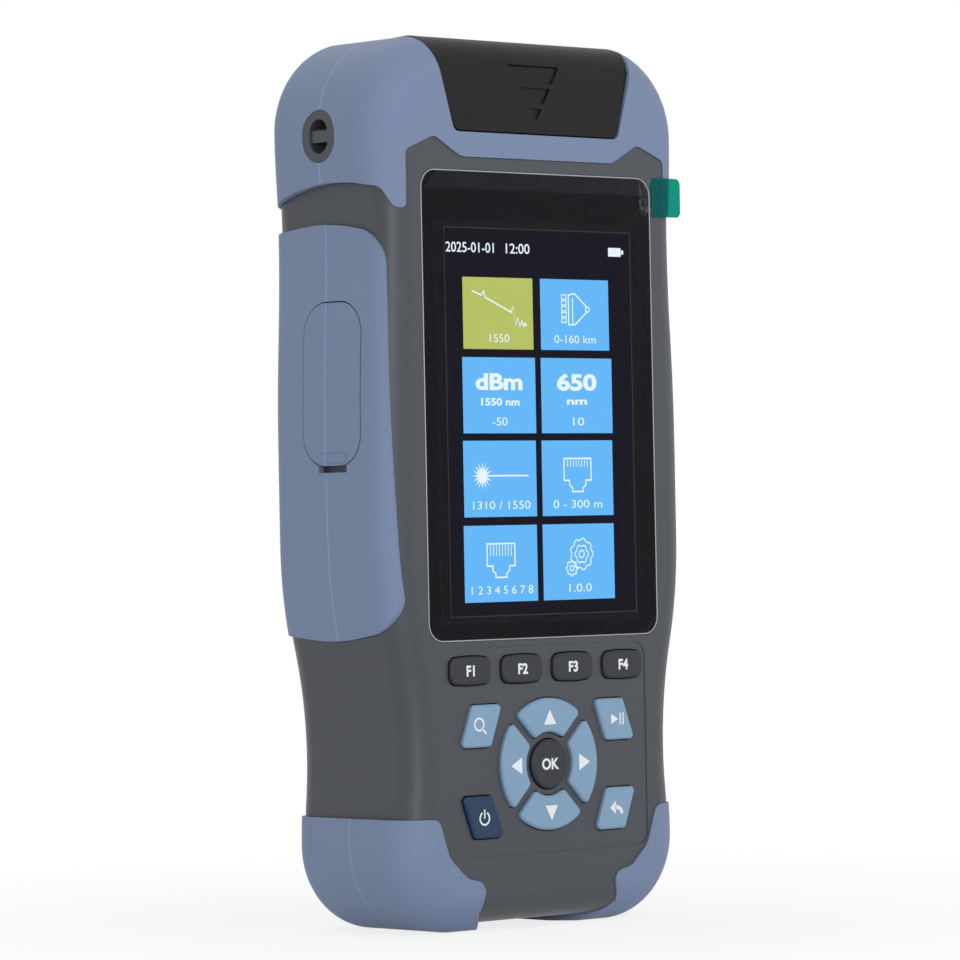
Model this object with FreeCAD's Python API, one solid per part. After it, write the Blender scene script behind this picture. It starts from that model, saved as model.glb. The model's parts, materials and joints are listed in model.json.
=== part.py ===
"""Handheld optical time domain reflectometer: a moulded housing with rubber bumpers and grips,
a colour screen, thirteen keys, a hinged cover over the optical ports and a rubber flap over the
side sockets. Millimetres. +Z runs up the housing, the screen faces -Y and +X is to the right of
somebody who reads it. The origin is under the middle of the housing, on the surface it stands on."""

import FreeCAD, Part
import math
import os

from FreeCAD import Vector

os.makedirs("parts", exist_ok=True)

# ---------------------------------------------------------------- driving dimensions
# Housing form. Half widths, and rises above or drops below its own foot and crown
crown_height = 24.35
body_depth = 34.2
foot_half = 35.0
waist_half = 34.2
waist_rise = 31.4
belly_half = 39.0
belly_rise = 72.0
chest_rise = 90.4
neck_half = 37.9
neck_drop = 35.4
head_half = 38.5
top_corner_r = 16.4
bottom_corner_r = 14.7
front_edge_r = 5.4
back_edge_r = 5.3
wall = 2.4

# Parting line between the two half shells, as a depth behind the front face
parting_depth = 17.5
parting_foot_depth = 16.0
parting_bend_rise = 86.0
parting_bend_r = 160.0

# Rubber moulded over the shells
bumper_thick = 1.6
bumper_face_thick = 0.3
bumper_front_r = 7.6
bumper_back_r = 7.0
grip_thick = 0.7
rubber_inset = 0.8
bond_gap = 0.1
rubber_seam = 0.14
bumper_brow_drop = 4.8
bumper_brow_half = 19.9
bumper_peak_drop = 1.0
bumper_peak_half = 26.7
bumper_shoulder_drop = 3.9
bumper_tooth_half = 33.8
bumper_tooth_drop = 14.9
bumper_tooth_r = 1.0
bumper_nose_depth = 0.8
bumper_nose_r = 1.0
bumper_side_drop = 8.4
bumper_side_bow = 2.4
bumper_rear_dip = 5.0
flank_bow_r = 48.0
grip_head_set_in = 2.4
grip_foot_set_in = 0.4
grip_hidden_set_in = 3.6
grip_top_gap = 8.2
grip_length = 79.6
grip_bow = 2.6
grip_corner_r = 7.0
grip_window_gap = 0.9
heel_rise = 20.5
heel_half = 28.6
heel_waist_rise = 12.8
heel_waist_half = 26.0
heel_toe_rise = 8.9
heel_toe_half = 21.6
heel_tip_half = 16.6
heel_tip_rise = 8.0
heel_foot_half = 18.6
sole_half = 10.0
sole_depth = 11.0
sole_rise = 2.2

# Cover over the optical ports, and the bay under it
bay_depth = 17.2
cover_foot_half = 21.5
cover_flare = 0.30
cover_corner_r = 1.6
cover_crown_r = 1.5
cover_crown_fall = 1.2
cover_lean = 1.0
cover_barrel_r = 7.3
cover_wall = 2.0
cover_gap = 0.3
cheek_wall = 1.5
cheek_rise = 6.0
hinge_rim_drop = 5.2
hinge_pin_r = 1.2
hinge_pin_reach = 3.4
hinge_hub_r = 3.0
hinge_ear = 3.0
pin_running_gap = 0.06
pin_seat_gap = 0.02
arrow_width = 13.5
arrow_height = 10.7
arrow_rise = 13.4
arrow_bands = ((0.0, 3.4), (4.3, 7.2), (8.3, 10.3))
arrow_deep = 0.4

# Screen
window_width = 60.6
window_height = 89.05
window_rise = 53.4
window_corner_r = 3.5
window_thick = 1.0
window_bevel = 0.25
view_side_border = 4.3
view_top_border = 9.45
view_foot_border = 3.2
lcd_side_margin = 1.8
lcd_top_margin = 2.2
lcd_foot_margin = 3.4
lcd_thick = 3.0
gasket_thick = 0.5
film_thick = 0.12
film_margin = 0.5
tab_width = 11.0
tab_height = 7.6
tab_thick = 0.15
tab_reach = 7.8
tab_flat = 3.6
tab_lift = 0.3
tab_corner_r = 1.2

# Keys
key_gap = 0.25
key_proud = 0.7
key_travel = 0.8
key_flange = 0.5
key_flange_thick = 0.8
key_stem_r = 1.5
key_stem_gap = 0.3
key_edge = 0.35
key_corner_r = 0.9
soft_key_width = 9.8
soft_key_height = 5.4
soft_key_bow = 0.35
soft_key_corner_r = 1.5
soft_key_pitch = 13.35
soft_key_rise = 47.9
pad_rise = 29.5
pad_outer_r = 12.6
pad_inner_r = 6.1
pad_slot = 1.8
ok_key_r = 4.72
slant_key_width = 7.6
slant_key_height = 8.0
slant_key_lean = 3.0
slant_key_offset = 17.5
slant_key_raise = 7.9
slant_key_drop = 9.3
dish_deep = 0.15
dish_half = 26.4
dish_rise = 12.6
dish_top_rise = 52.3
dish_corner_r = 3.0

# Main board and what it carries
board_depth = 8.9
board_thick = 1.6
board_edge_gap = 1.5
board_rise = 9.5
board_top_gap = 3.2
board_post_r = 2.4
board_post_half = 20.0
board_post_inset = 3.2
board_screw_r = 1.1
board_screw_head_r = 2.0
board_screw_head = 1.2
board_screw_length = 6.0
switch_size = 4.5
switch_body = 2.0
mat_thick = 1.0
mat_hole_r = 3.4
mat_half = 27.0
mat_margin = 4.0

# Side sockets and their rubber flap
flap_width = 16.0
flap_height = 30.7
flap_rise = 87.0
flap_depth = 15.6
flap_corner_r = 6.0
flap_seat = 1.0
flap_seat_gap = 0.3
flap_proud = 0.1
flap_gap = 0.25
flap_ledge = 1.6
flap_plug = 1.4
flap_axis_drop = 1.2
nail_width = 8.0
nail_height = 1.6
nail_proud = 0.2
nail_slot = 1.3
jack_width = 15.9
jack_height = 13.3
jack_length = 19.0
jack_mouth_width = 11.8
jack_mouth_height = 6.8
jack_mouth_deep = 14.0
jack_latch_width = 6.2
jack_latch_height = 2.4
socket_wall_gap = 0.3
jack_rise = 106.4
usb_width = 9.4
usb_height = 3.6
usb_length = 8.0
usb_shell = 0.4
usb_rise = 93.4
usb_tongue = 0.8

# Optical ports under the cover
port_pitch = 14.0
port_depth = 13.6
panel_thick = 2.0
panel_half = 19.6
panel_front_depth = 3.2
panel_back_depth = 24.0
panel_gap = 0.1
deck_thick = 2.0
deck_ledge = 2.0
port_barrel_r = 4.0
ferrule_r = 1.25
port_tall = 10.0
port_flange_half = 5.1
port_flange_thick = 1.2
port_tail = 4.6
port_tail_r = 3.1
meter_collar_r = 5.2
meter_collar_tall = 5.0
port_gap = 0.05

# Optical module, battery, its tray and its door
module_width = 41.0
module_height = 46.0
module_thick = 13.0
module_left = -14.0
module_drop = 9.0
module_corner_r = 1.5
battery_width = 46.0
battery_height = 62.0
battery_thick = 12.4
battery_corner_r = 2.5
battery_gap = 0.3
tray_wall = 1.4
tray_floor = 1.4
tray_rise = 20.6
door_thick = 1.8
door_rim = 2.4
door_head = 9.0
door_corner_r = 4.0
door_gap = 0.2
door_screw_r = 1.1
door_screw_head_r = 2.1
door_screw_head = 1.1
door_screw_length = 6.5
door_screw_half = 17.0
door_boss_r = 2.8

# Case screws
case_screw_r = 1.25
case_screw_head_r = 2.5
case_screw_head = 1.8
case_screw_sink = 3.2
case_screw_length = 20.0
case_screw_foot_half = 29.0
case_screw_head_half = 31.2
case_screw_rise = 34.4
case_screw_drop = 32.4
case_post_r = 3.0
screw_seat_gap = 0.04
screw_hole_gap = 0.2

# Strap bars in the top corners
strap_ring_width = 9.0
strap_ring_height = 9.8
strap_mouth_width = 5.1
strap_mouth_height = 6.5
strap_bar_height = 2.3
strap_bar_thick = 2.4
strap_bar_set_in = 0.5
strap_mouth_deep = 6.5
strap_drop = 17.7
strap_depth = 17.5

# ---------------------------------------------------------------- levels worked out from them
far = 200.0
body_bottom = bumper_thick
body_height = window_rise + window_height + crown_height
body_top = body_bottom + body_height
front_y = -(body_depth + bumper_face_thick - key_proud) / 2
back_y = front_y + body_depth
parting_y = front_y + parting_depth
bend_z = body_bottom + parting_bend_rise
bay_floor = body_top - bay_depth
cover_face = front_y - bumper_face_thick
cover_top = body_top + bumper_thick
cover_crown_half = cover_foot_half + cover_flare * (cover_top - bay_floor)
hinge_y = back_y + bumper_face_thick - cover_barrel_r
hinge_z = cover_top - cover_crown_fall - cover_barrel_r
hinge_half = cover_crown_half - cover_gap
hinge_pin_half = hinge_half + hinge_pin_reach
panel_top = bay_floor
cavity_top = bay_floor - panel_thick - deck_thick
window_right = window_width / 2
grip_inner = window_right + grip_window_gap
window_low = body_bottom + window_rise
window_top = window_low + window_height
window_z = (window_low + window_top) / 2
view_width = window_width - 2 * view_side_border
view_low = window_low + view_foot_border
view_top = window_top - view_top_border
view_z = (view_low + view_top) / 2
view_height = view_top - view_low
lcd_width = view_width + 2 * lcd_side_margin
lcd_height = view_height + lcd_foot_margin + lcd_top_margin
lcd_z = view_z + (lcd_top_margin - lcd_foot_margin) / 2
pad_z = body_bottom + pad_rise
soft_key_z = body_bottom + soft_key_rise
inner_front = front_y + wall
board_front = front_y + board_depth
board_back = board_front + board_thick
board_bottom = body_bottom + board_rise
board_top = cavity_top - board_top_gap
port_y = front_y + port_depth
flap_y = front_y + flap_depth
flap_z = body_bottom + flap_rise + flap_height / 2
flap_top = flap_z + flap_height / 2
flap_axis_z = flap_top - flap_axis_drop
jack_z = body_bottom + jack_rise
usb_z = body_bottom + usb_rise
strap_y = front_y + strap_depth
strap_z = body_top - strap_drop
tray_z = body_bottom + tray_rise + battery_height / 2
tray_back = back_y - door_thick
tray_half = battery_width / 2 + battery_gap
tray_half_height = battery_height / 2 + battery_gap
battery_back = tray_back - battery_gap
tray_inner = battery_back - battery_thick
door_screw_z = tray_z + tray_half_height + door_rim + door_head / 2
module_top = cavity_top - module_drop
case_screw_seat = back_y - case_screw_sink
case_screw_spots = [
    (side * half, z)
    for side in (-1, 1)
    for half, z in (
        (case_screw_foot_half, body_bottom + case_screw_rise),
        (case_screw_head_half, body_top - case_screw_drop),
    )
]
board_screw_spots = [
    (side * board_post_half, z)
    for side in (-1, 1)
    for z in (board_bottom + board_post_inset, board_top - board_post_inset)
]


# ---------------------------------------------------------------- drawing and cutting helpers
def xz(x, z):
    """A point on the plane of the front view."""
    return Vector(x, 0, z)


def yz(y, z):
    """A point on the plane of the side view."""
    return Vector(0, y, z)


def xy(x, y):
    """A point on the plane of the top view."""
    return Vector(x, y, 0)


def rounded(corners, place):
    """Closed face through (a, b, radius) corners, where each corner is an arc of its radius."""
    count = len(corners)
    arcs = []
    for i in range(count):
        a, b, radius = corners[i]
        here = Vector(a, b, 0)
        back = (Vector(*corners[i - 1][:2], 0) - here).normalize()
        ahead = (Vector(*corners[(i + 1) % count][:2], 0) - here).normalize()
        half = back.getAngle(ahead) / 2
        trim = radius / math.tan(half)
        middle = here + (back + ahead).normalize() * (radius / math.sin(half) - radius)
        arcs.append((here + back * trim, middle, here + ahead * trim, radius))
    edges = []
    for i in range(count):
        start, middle, end, radius = arcs[i]
        after = arcs[(i + 1) % count][0]
        if radius:
            edges.append(Part.Arc(*(place(p.x, p.y) for p in (start, middle, end))).toShape())
        if (after - end).Length > 1e-6:
            edges.append(Part.LineSegment(place(end.x, end.y), place(after.x, after.y)).toShape())
    return Part.Face(Part.Wire(edges))


def round_rect(width, height, radius, mid_a, mid_b, place):
    """Face of a rectangle with rounded corners about a middle point."""
    a, b = width / 2, height / 2
    corners = [(-a, -b), (a, -b), (a, b), (-a, b)]
    return rounded([(mid_a + p, mid_b + q, radius) for p, q in corners], place)


def both_sides(right):
    """Corners of a symmetric outline from those of its right half, listed from the middle out."""
    return right + [(-a, b, radius) for a, b, radius in reversed(right)]


def along(face, axis, start, end):
    """Solid swept from a face between two stations on an axis."""
    moved = face.copy()
    moved.translate(axis * start)
    return moved.extrude(axis * (end - start))


def along_x(face, x0, x1):
    return along(face, Vector(1, 0, 0), x0, x1)


def along_y(face, y0, y1):
    return along(face, Vector(0, 1, 0), y0, y1)


def along_z(face, z0, z1):
    return along(face, Vector(0, 0, 1), z0, z1)


def block(x0, x1, y0, y1, z0, z1):
    return Part.makeBox(x1 - x0, y1 - y0, z1 - z0, Vector(x0, y0, z0))


def rod_x(y, z, radius, x0, x1):
    return Part.makeCylinder(radius, x1 - x0, Vector(x0, y, z), Vector(1, 0, 0))


def rod_y(x, z, radius, y0, y1):
    return Part.makeCylinder(radius, y1 - y0, Vector(x, y0, z), Vector(0, 1, 0))


def rod_z(x, y, radius, z0, z1):
    return Part.makeCylinder(radius, z1 - z0, Vector(x, y, z0), Vector(0, 0, 1))


def mirrored(shape):
    return shape.mirror(Vector(0, 0, 0), Vector(1, 0, 0))


def tidy(shape):
    """The shape with coplanar faces joined, which has to be one solid."""
    solids = shape.removeSplitter().Solids
    if len(solids) != 1:
        raise ValueError(f"expected one solid and found {[round(s.Volume, 3) for s in solids]}")
    return solids[0]


def save(name, shape):
    shape.exportStep(f"parts/{name}.step")


# ---------------------------------------------------------------- the housing's form
def sway(low, high):
    """Two equal arcs that leave one point and arrive at a higher one upright, as an easy S."""
    middle = (low + high) * 0.5
    rise = high - low
    radius = rise.Length**2 / (4 * abs(rise.x))
    turn = math.asin(rise.z / 2 / radius) / 2
    step = math.copysign(radius * (1 - math.cos(turn)), rise.x)
    lift = radius * math.sin(turn)
    first = Part.Arc(low, low + xz(step, lift), middle).toShape()
    second = Part.Arc(middle, high - xz(step, lift), high).toShape()
    return [first, second]


def front_outline(grow):
    """Front view of the housing, grown outwards by a distance: a flat foot and crown, arcs at the
    corners, and sides that sway in at the waist, out over the belly and in again at the neck."""
    bottom = body_bottom - grow
    top = body_top + grow
    foot_z = body_bottom + bottom_corner_r
    head_z = body_top - top_corner_r
    foot_x = foot_half - bottom_corner_r
    head_x = head_half - top_corner_r
    foot_reach = (bottom_corner_r + grow) * math.sqrt(0.5)
    head_reach = (top_corner_r + grow) * math.sqrt(0.5)
    foot_end = xz(foot_half + grow, foot_z)
    waist = xz(waist_half + grow, body_bottom + waist_rise)
    belly_low = xz(belly_half + grow, body_bottom + belly_rise)
    belly_high = xz(belly_half + grow, body_bottom + chest_rise)
    neck = xz(neck_half + grow, body_top - neck_drop)
    head_start = xz(head_half + grow, head_z)
    right = [
        Part.Arc(xz(foot_x, bottom), xz(foot_x + foot_reach, foot_z - foot_reach), foot_end).toShape(),
        *sway(foot_end, waist),
        *sway(waist, belly_low),
        Part.LineSegment(belly_low, belly_high).toShape(),
        *sway(belly_high, neck),
        *sway(neck, head_start),
        Part.Arc(head_start, xz(head_x + head_reach, head_z + head_reach), xz(head_x, top)).toShape(),
    ]
    left = [mirrored(edge) for edge in right]
    foot = Part.LineSegment(xz(-foot_x, bottom), xz(foot_x, bottom)).toShape()
    crown = Part.LineSegment(xz(-head_x, top), xz(head_x, top)).toShape()
    return Part.Face(Part.Wire(Part.__sortEdges__([foot, *right, crown, *left])))


def rim_edges(solid, y):
    """Edges that lie on an upright plane across the depth."""
    return [e for e in solid.Edges if abs(e.BoundBox.YMin - y) < 1e-3 and abs(e.BoundBox.YMax - y) < 1e-3]


def flank(grow):
    """The straight-sided slab behind the front view, wider than deep, for cutting flush faces."""
    return along_y(front_outline(grow), front_y - 10, back_y + 10)


# Each skin: growth at the outline, growth at the front and back faces, front roll, back roll
bare = (0, 0, front_edge_r, back_edge_r)
grip_skin = (grip_thick, grip_thick, front_edge_r + grip_thick, back_edge_r + grip_thick)
bumper_skin = (bumper_thick, bumper_face_thick, bumper_front_r, bumper_back_r)


def front_form(skin):
    """Front half of the form under a skin, with its rolled front edge."""
    grow, face_grow, roll, _ = skin
    face = front_y - face_grow
    slab = along_y(front_outline(grow), face, back_y)
    return slab.makeFillet(roll, rim_edges(slab, face))


def back_form(skin):
    """Back half of the form under a skin, with its rolled back edge."""
    grow, face_grow, _, roll = skin
    face = back_y + face_grow
    slab = along_y(front_outline(grow), front_y, face)
    return slab.makeFillet(roll, rim_edges(slab, face))


def front_core(shrink):
    """Front half of a plainer form inside the housing, with its edge cut at a slant that keeps
    the wall outside it even."""
    face = front_y + shrink
    slab = along_y(front_outline(-shrink), face, back_y)
    cut = (2 - math.sqrt(2)) * (front_edge_r - shrink)
    return slab.makeChamfer(cut, rim_edges(slab, face))


def back_core(shrink):
    """Back half of the plainer form inside the housing."""
    face = back_y - shrink
    slab = along_y(front_outline(-shrink), front_y, face)
    cut = (2 - math.sqrt(2)) * (back_edge_r - shrink)
    return slab.makeChamfer(cut, rim_edges(slab, face))


def parting(shift):
    """Everything in front of the parting line, moved back by a distance. The line is upright
    behind the screen and runs forward below it."""
    y = parting_y + shift
    slope = (parting_depth - parting_foot_depth) / parting_bend_rise
    low = body_bottom - 20
    low_y = y - slope * (bend_z - low)
    high = body_top + 20
    corners = [(-far, low, 0), (low_y, low, 0), (y, bend_z, parting_bend_r), (y, high, 0), (-far, high, 0)]
    return along_x(rounded(corners, yz), -far, far)


def half_width(z):
    """Half width of the housing at a height."""
    return front_outline(0).common(Part.makeLine(xz(0, z), xz(far, z))).Length


# ---------------------------------------------------------------- regions of the rubber
def top_bumper_region(grow):
    """Over the head: a wavy brow above the screen with a tooth at each side, and at the flanks an
    edge that bows upwards."""
    tooth_z = bay_floor - bumper_tooth_drop - grow
    brow = [
        (bumper_brow_half, bay_floor - bumper_brow_drop - grow, 4.0),
        (bumper_peak_half, bay_floor - bumper_peak_drop - grow, 2.2),
        (bumper_tooth_half - grow, bay_floor - bumper_shoulder_drop - grow, 1.2),
        (bumper_tooth_half - grow, tooth_z, bumper_tooth_r),
        (far, tooth_z, 0),
        (far, body_top + far, 0),
    ]
    side_z = bay_floor - bumper_side_drop - grow
    flank_edge = [
        (-far, tooth_z, 0),
        (front_y + bumper_nose_depth, tooth_z, bumper_nose_r),
        (front_y + bumper_nose_depth + 1.8, side_z - bumper_side_bow, 2 * bumper_nose_r),
        (parting_y, side_z, flank_bow_r),
        (back_y, side_z - bumper_rear_dip, 0),
        (far, side_z - bumper_rear_dip, 0),
        (far, body_top + far, 0),
        (-far, body_top + far, 0),
    ]
    front = along_y(rounded(both_sides(brow), xz), -far, far)
    return front.common(along_x(rounded(flank_edge, yz), -far, far))


def grip_region(side, grow):
    """Beside the screen: from the rolled front edge round to the back, with bowed ends. The left
    one comes further forward, and most at its foot."""
    top = bay_floor - bumper_side_drop - grip_top_gap
    bottom = top - grip_length
    head_in, foot_in = grip_hidden_set_in, grip_hidden_set_in
    if side < 0:
        head_in, foot_in = grip_head_set_in, grip_foot_set_in
    corners = [
        (front_y + foot_in - grow, bottom + grip_bow - grow, grip_corner_r),
        (parting_y, bottom - grow, flank_bow_r),
        (back_y + 10, bottom + grip_bow - grow, 0),
        (back_y + 10, top - grip_bow + grow, 0),
        (parting_y, top + grow, flank_bow_r),
        (front_y + head_in - grow, top - grip_bow + grow, grip_corner_r),
    ]
    inner = side * (grip_inner - grow)
    return along_x(rounded(corners, yz), min(inner, side * far), max(inner, side * far))


def heel_region(side, grow):
    """Round a bottom corner: an S edge across the front and back, and a sole under the foot."""
    z = body_bottom
    edge = [
        (heel_half - grow, z + heel_rise + grow, 2.2),
        (heel_waist_half - grow, z + heel_waist_rise, 5.0),
        (heel_toe_half, z + heel_toe_rise + grow, 3.5),
        (heel_tip_half - grow, z + heel_tip_rise + grow, 2.4),
        (heel_foot_half - grow, z - 1.0, 3.0),
        (heel_foot_half - grow, z - 20, 0),
        (far, z - 20, 0),
        (far, z + heel_rise + grow, 0),
    ]
    sole = [
        (far, -far, 0),
        (heel_foot_half - grow, -far, 0),
        (heel_foot_half - grow, front_y, 2.0),
        (sole_half - grow, front_y + sole_depth, 6.0),
        (sole_half - grow, far, 0),
        (far, far, 0),
    ]
    upper = along_y(rounded(edge, xz), -far, far)
    lower = along_z(rounded(sole, xy), body_bottom - 20, body_bottom + sole_rise + grow)
    region = upper.fuse(lower)
    return region if side > 0 else mirrored(region)


# ---------------------------------------------------------------- shared cut-outs
def cover_outline(shrink, top, crown_r):
    """Front view of the port cover, a foot that flares up to a level crown, made smaller by a
    gap."""
    foot = cover_foot_half - shrink
    crown = foot + cover_flare * (top - bay_floor)
    corners = [(foot, bay_floor + shrink, cover_corner_r), (crown, top, crown_r)]
    return rounded(both_sides(corners), xz)


def cover_skin(shrink):
    """The cover's side view without its barrel: a front that leans back a little, a roll and a
    crown that falls towards the hinge."""
    face = cover_face + shrink
    top = cover_top - shrink
    corners = [
        (face, bay_floor, 0),
        (hinge_y, bay_floor, 0),
        (hinge_y, top - cover_crown_fall, 0),
        (face + cover_lean, top, bumper_front_r - shrink),
    ]
    return along_x(rounded(corners, yz), -far, far)


def bay_cut():
    """Room for the cover and its barrel: the flared bay, a bore round the hinge and the open back
    above the rim."""
    bore_r = cover_barrel_r + cover_gap
    half = hinge_half + cover_gap
    bay = along_y(cover_outline(0, cover_top + 10, 0), -far, hinge_y)
    bore = rod_x(hinge_y, hinge_z, bore_r, -half, half)
    rear = block(-half, half, hinge_y, far, hinge_z - hinge_rim_drop, body_top + far)
    return bay.fuse([bore, rear])


def panel_outline(grow):
    """Top view of the port panel."""
    y0 = front_y + panel_front_depth
    y1 = front_y + panel_back_depth
    width = 2 * panel_half + 2 * grow
    return round_rect(width, y1 - y0 + 2 * grow, 1.5, 0, (y0 + y1) / 2, xy)


def panel_seat():
    """Recess for the port panel and the opening under it for the ports' tails."""
    recess = along_z(panel_outline(panel_gap), panel_top - panel_thick, panel_top + 0.01)
    opening = along_z(panel_outline(-deck_ledge), cavity_top - 1, panel_top)
    return recess.fuse(opening)


def strap_oval(width, height, grow):
    """Side view of the strap ring, an upright oval with half-round ends."""
    w = width + 2 * grow
    return round_rect(w, height + 2 * grow, w / 2 - 0.01, strap_y, strap_z, yz)


def strap_mouth(side):
    """The pocket that a strap threads through, with the bar across it left standing."""
    skin = half_width(strap_z) + bumper_thick
    inner = skin - strap_mouth_deep
    mouth = along_x(strap_oval(strap_mouth_width, strap_mouth_height, 0), inner, far)
    bar = block(
        skin - strap_bar_set_in - strap_bar_thick,
        skin - strap_bar_set_in,
        strap_y - strap_mouth_width,
        strap_y + strap_mouth_width,
        strap_z - strap_bar_height / 2,
        strap_z + strap_bar_height / 2,
    )
    pocket = mouth.cut(bar)
    return pocket if side > 0 else mirrored(pocket)


def strap_ring(side):
    """The oval collar round the mouth, flush with the bumper."""
    inner = half_width(strap_z) - strap_mouth_deep
    oval = along_x(strap_oval(strap_ring_width, strap_ring_height, 0), inner, far)
    ring = flank(bumper_thick - bond_gap).common(oval)
    return ring if side > 0 else mirrored(ring)


def flap_outline(grow):
    """Side view of the flap, grown by a distance."""
    radius = flap_corner_r + grow
    return round_rect(flap_width + 2 * grow, flap_height + 2 * grow, radius, flap_y, flap_z, yz)


def flap_pocket():
    """Recess for the flap in the left flank, its relief behind the hinge, its fingernail slot and
    the opening to the sockets."""
    seat = flank(-flap_seat)
    outer = along_x(flap_outline(flap_gap), -far, 0).cut(seat)
    opening = along_x(flap_outline(-flap_ledge), -far, socket_face)
    relief = rod_y(-flap_axis_x, flap_axis_z, flap_swing_r, flap_y - 6, flap_y + 6).common(seat)
    slot = nail_slot_block().cut(seat)
    return outer.fuse([opening, relief, slot])


def nail_slot_block():
    """Slot under the flap for a fingernail."""
    half = nail_width / 2
    bottom = flap_z - flap_height / 2
    return block(-far, 0, flap_y - half, flap_y + half, bottom - nail_slot, bottom + nail_slot)


# ---------------------------------------------------------------- key outlines
def soft_key(grow):
    """Front view of a function key: a rectangle whose four sides bow outwards."""
    w = soft_key_width / 2 + grow
    h = soft_key_height / 2 + grow
    bow = soft_key_bow
    corners = [xz(-w, -h + bow), xz(w, -h + bow), xz(w, h - bow), xz(-w, h - bow)]
    mids = [xz(0, -h), xz(w + bow, 0), xz(0, h), xz(-w - bow, 0)]
    edges = [Part.Arc(corners[i], mids[i], corners[(i + 1) % 4]).toShape() for i in range(4)]
    return Part.Face(Part.Wire(edges)), soft_key_corner_r + grow


def slant_key(lean_x):
    """Front view of a leaning four-sided key, whose top is moved sideways."""

    def outline(grow):
        w = slant_key_width / 2
        h = slant_key_height / 2 + grow
        slope = lean_x / slant_key_height
        w = w + grow * math.sqrt(1 + slope**2)
        points = [xz(-w - slope * h, -h), xz(w - slope * h, -h), xz(w + slope * h, h), xz(-w + slope * h, h)]
        return Part.Face(Part.makePolygon([*points, points[0]])), key_corner_r + grow

    return outline


def arrow_key(turn_deg):
    """Front view of a quarter of the ring pad, between two slots on the diagonals."""

    def outline(grow):
        middle = Vector(0, 0, 0)
        normal = Vector(0, 1, 0)
        outer = Part.Face(Part.Wire(Part.makeCircle(pad_outer_r + grow, middle, normal)))
        inner = Part.Face(Part.Wire(Part.makeCircle(pad_inner_r - grow, middle, normal)))
        apex = (pad_slot / 2 - grow) * math.sqrt(2)
        reach = 2 * pad_outer_r
        points = [xz(0, apex), xz(reach, apex + reach), xz(-reach, apex + reach), xz(0, apex)]
        quarter = outer.cut(inner).common(Part.Face(Part.makePolygon(points)))
        quarter.rotate(middle, normal, turn_deg)
        return quarter.Faces[0], key_corner_r + grow

    return outline


def round_key(grow):
    """Front view of the key in the middle of the pad."""
    circle = Part.makeCircle(ok_key_r + grow, Vector(0, 0, 0), Vector(0, 1, 0))
    return Part.Face(Part.Wire(circle)), 0


def key_prism(outline, grow, y0, y1, x, z):
    """The key's outline, grown by a distance and with its corners rounded, between two depths."""
    face, radius = outline(grow)
    solid = along_y(face, y0, y1)
    if radius:
        uprights = [e for e in solid.Edges if abs(e.BoundBox.YLength - (y1 - y0)) < 1e-3 and e.BoundBox.XLength < 1e-3]
        solid = solid.makeFillet(radius, uprights)
    solid.translate(xz(x, z))
    return solid


keys = {f"key_f{i + 1}": (soft_key, (i - 1.5) * soft_key_pitch, soft_key_z) for i in range(4)}
keys["key_zoom"] = (slant_key(slant_key_lean), -slant_key_offset, pad_z + slant_key_raise)
keys["key_play"] = (slant_key(-slant_key_lean), slant_key_offset, pad_z + slant_key_raise)
keys["key_power"] = (slant_key(-slant_key_lean), -slant_key_offset, pad_z - slant_key_drop)
keys["key_back"] = (slant_key(slant_key_lean), slant_key_offset, pad_z - slant_key_drop)
keys["key_ok"] = (round_key, 0, pad_z)
for number, name in enumerate(("key_up", "key_right", "key_down", "key_left")):
    keys[name] = (arrow_key(90 * number), 0, pad_z)


def key_middle(name):
    """Where a key's stem stands: under its middle, and half-way across the ring for an arrow."""
    outline, x, z = keys[name]
    ring = (pad_outer_r + pad_inner_r) / 2
    steps = {"key_up": (0, ring), "key_right": (ring, 0), "key_down": (0, -ring), "key_left": (-ring, 0)}
    step_x, step_z = steps.get(name, (0, 0))
    return x + step_x, z + step_z


# ---------------------------------------------------------------- shells
flap_axis_x = half_width(flap_axis_z) + grip_thick
socket_face = -(half_width(jack_z + jack_width / 2) - wall - socket_wall_gap)
flap_swing_r = math.hypot(flap_axis_drop, grip_thick + flap_seat - flap_seat_gap) + flap_seat_gap
cut_bay = bay_cut()
in_front = parting(0)


def rubber_pockets(core):
    """What the rubber takes from the shell around it, down to the core."""
    regions = [top_bumper_region(0)]
    for side in (-1, 1):
        regions += [grip_region(side, 0), heel_region(side, 0)]
    return regions[0].fuse(regions[1:]).cut(core)


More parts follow.
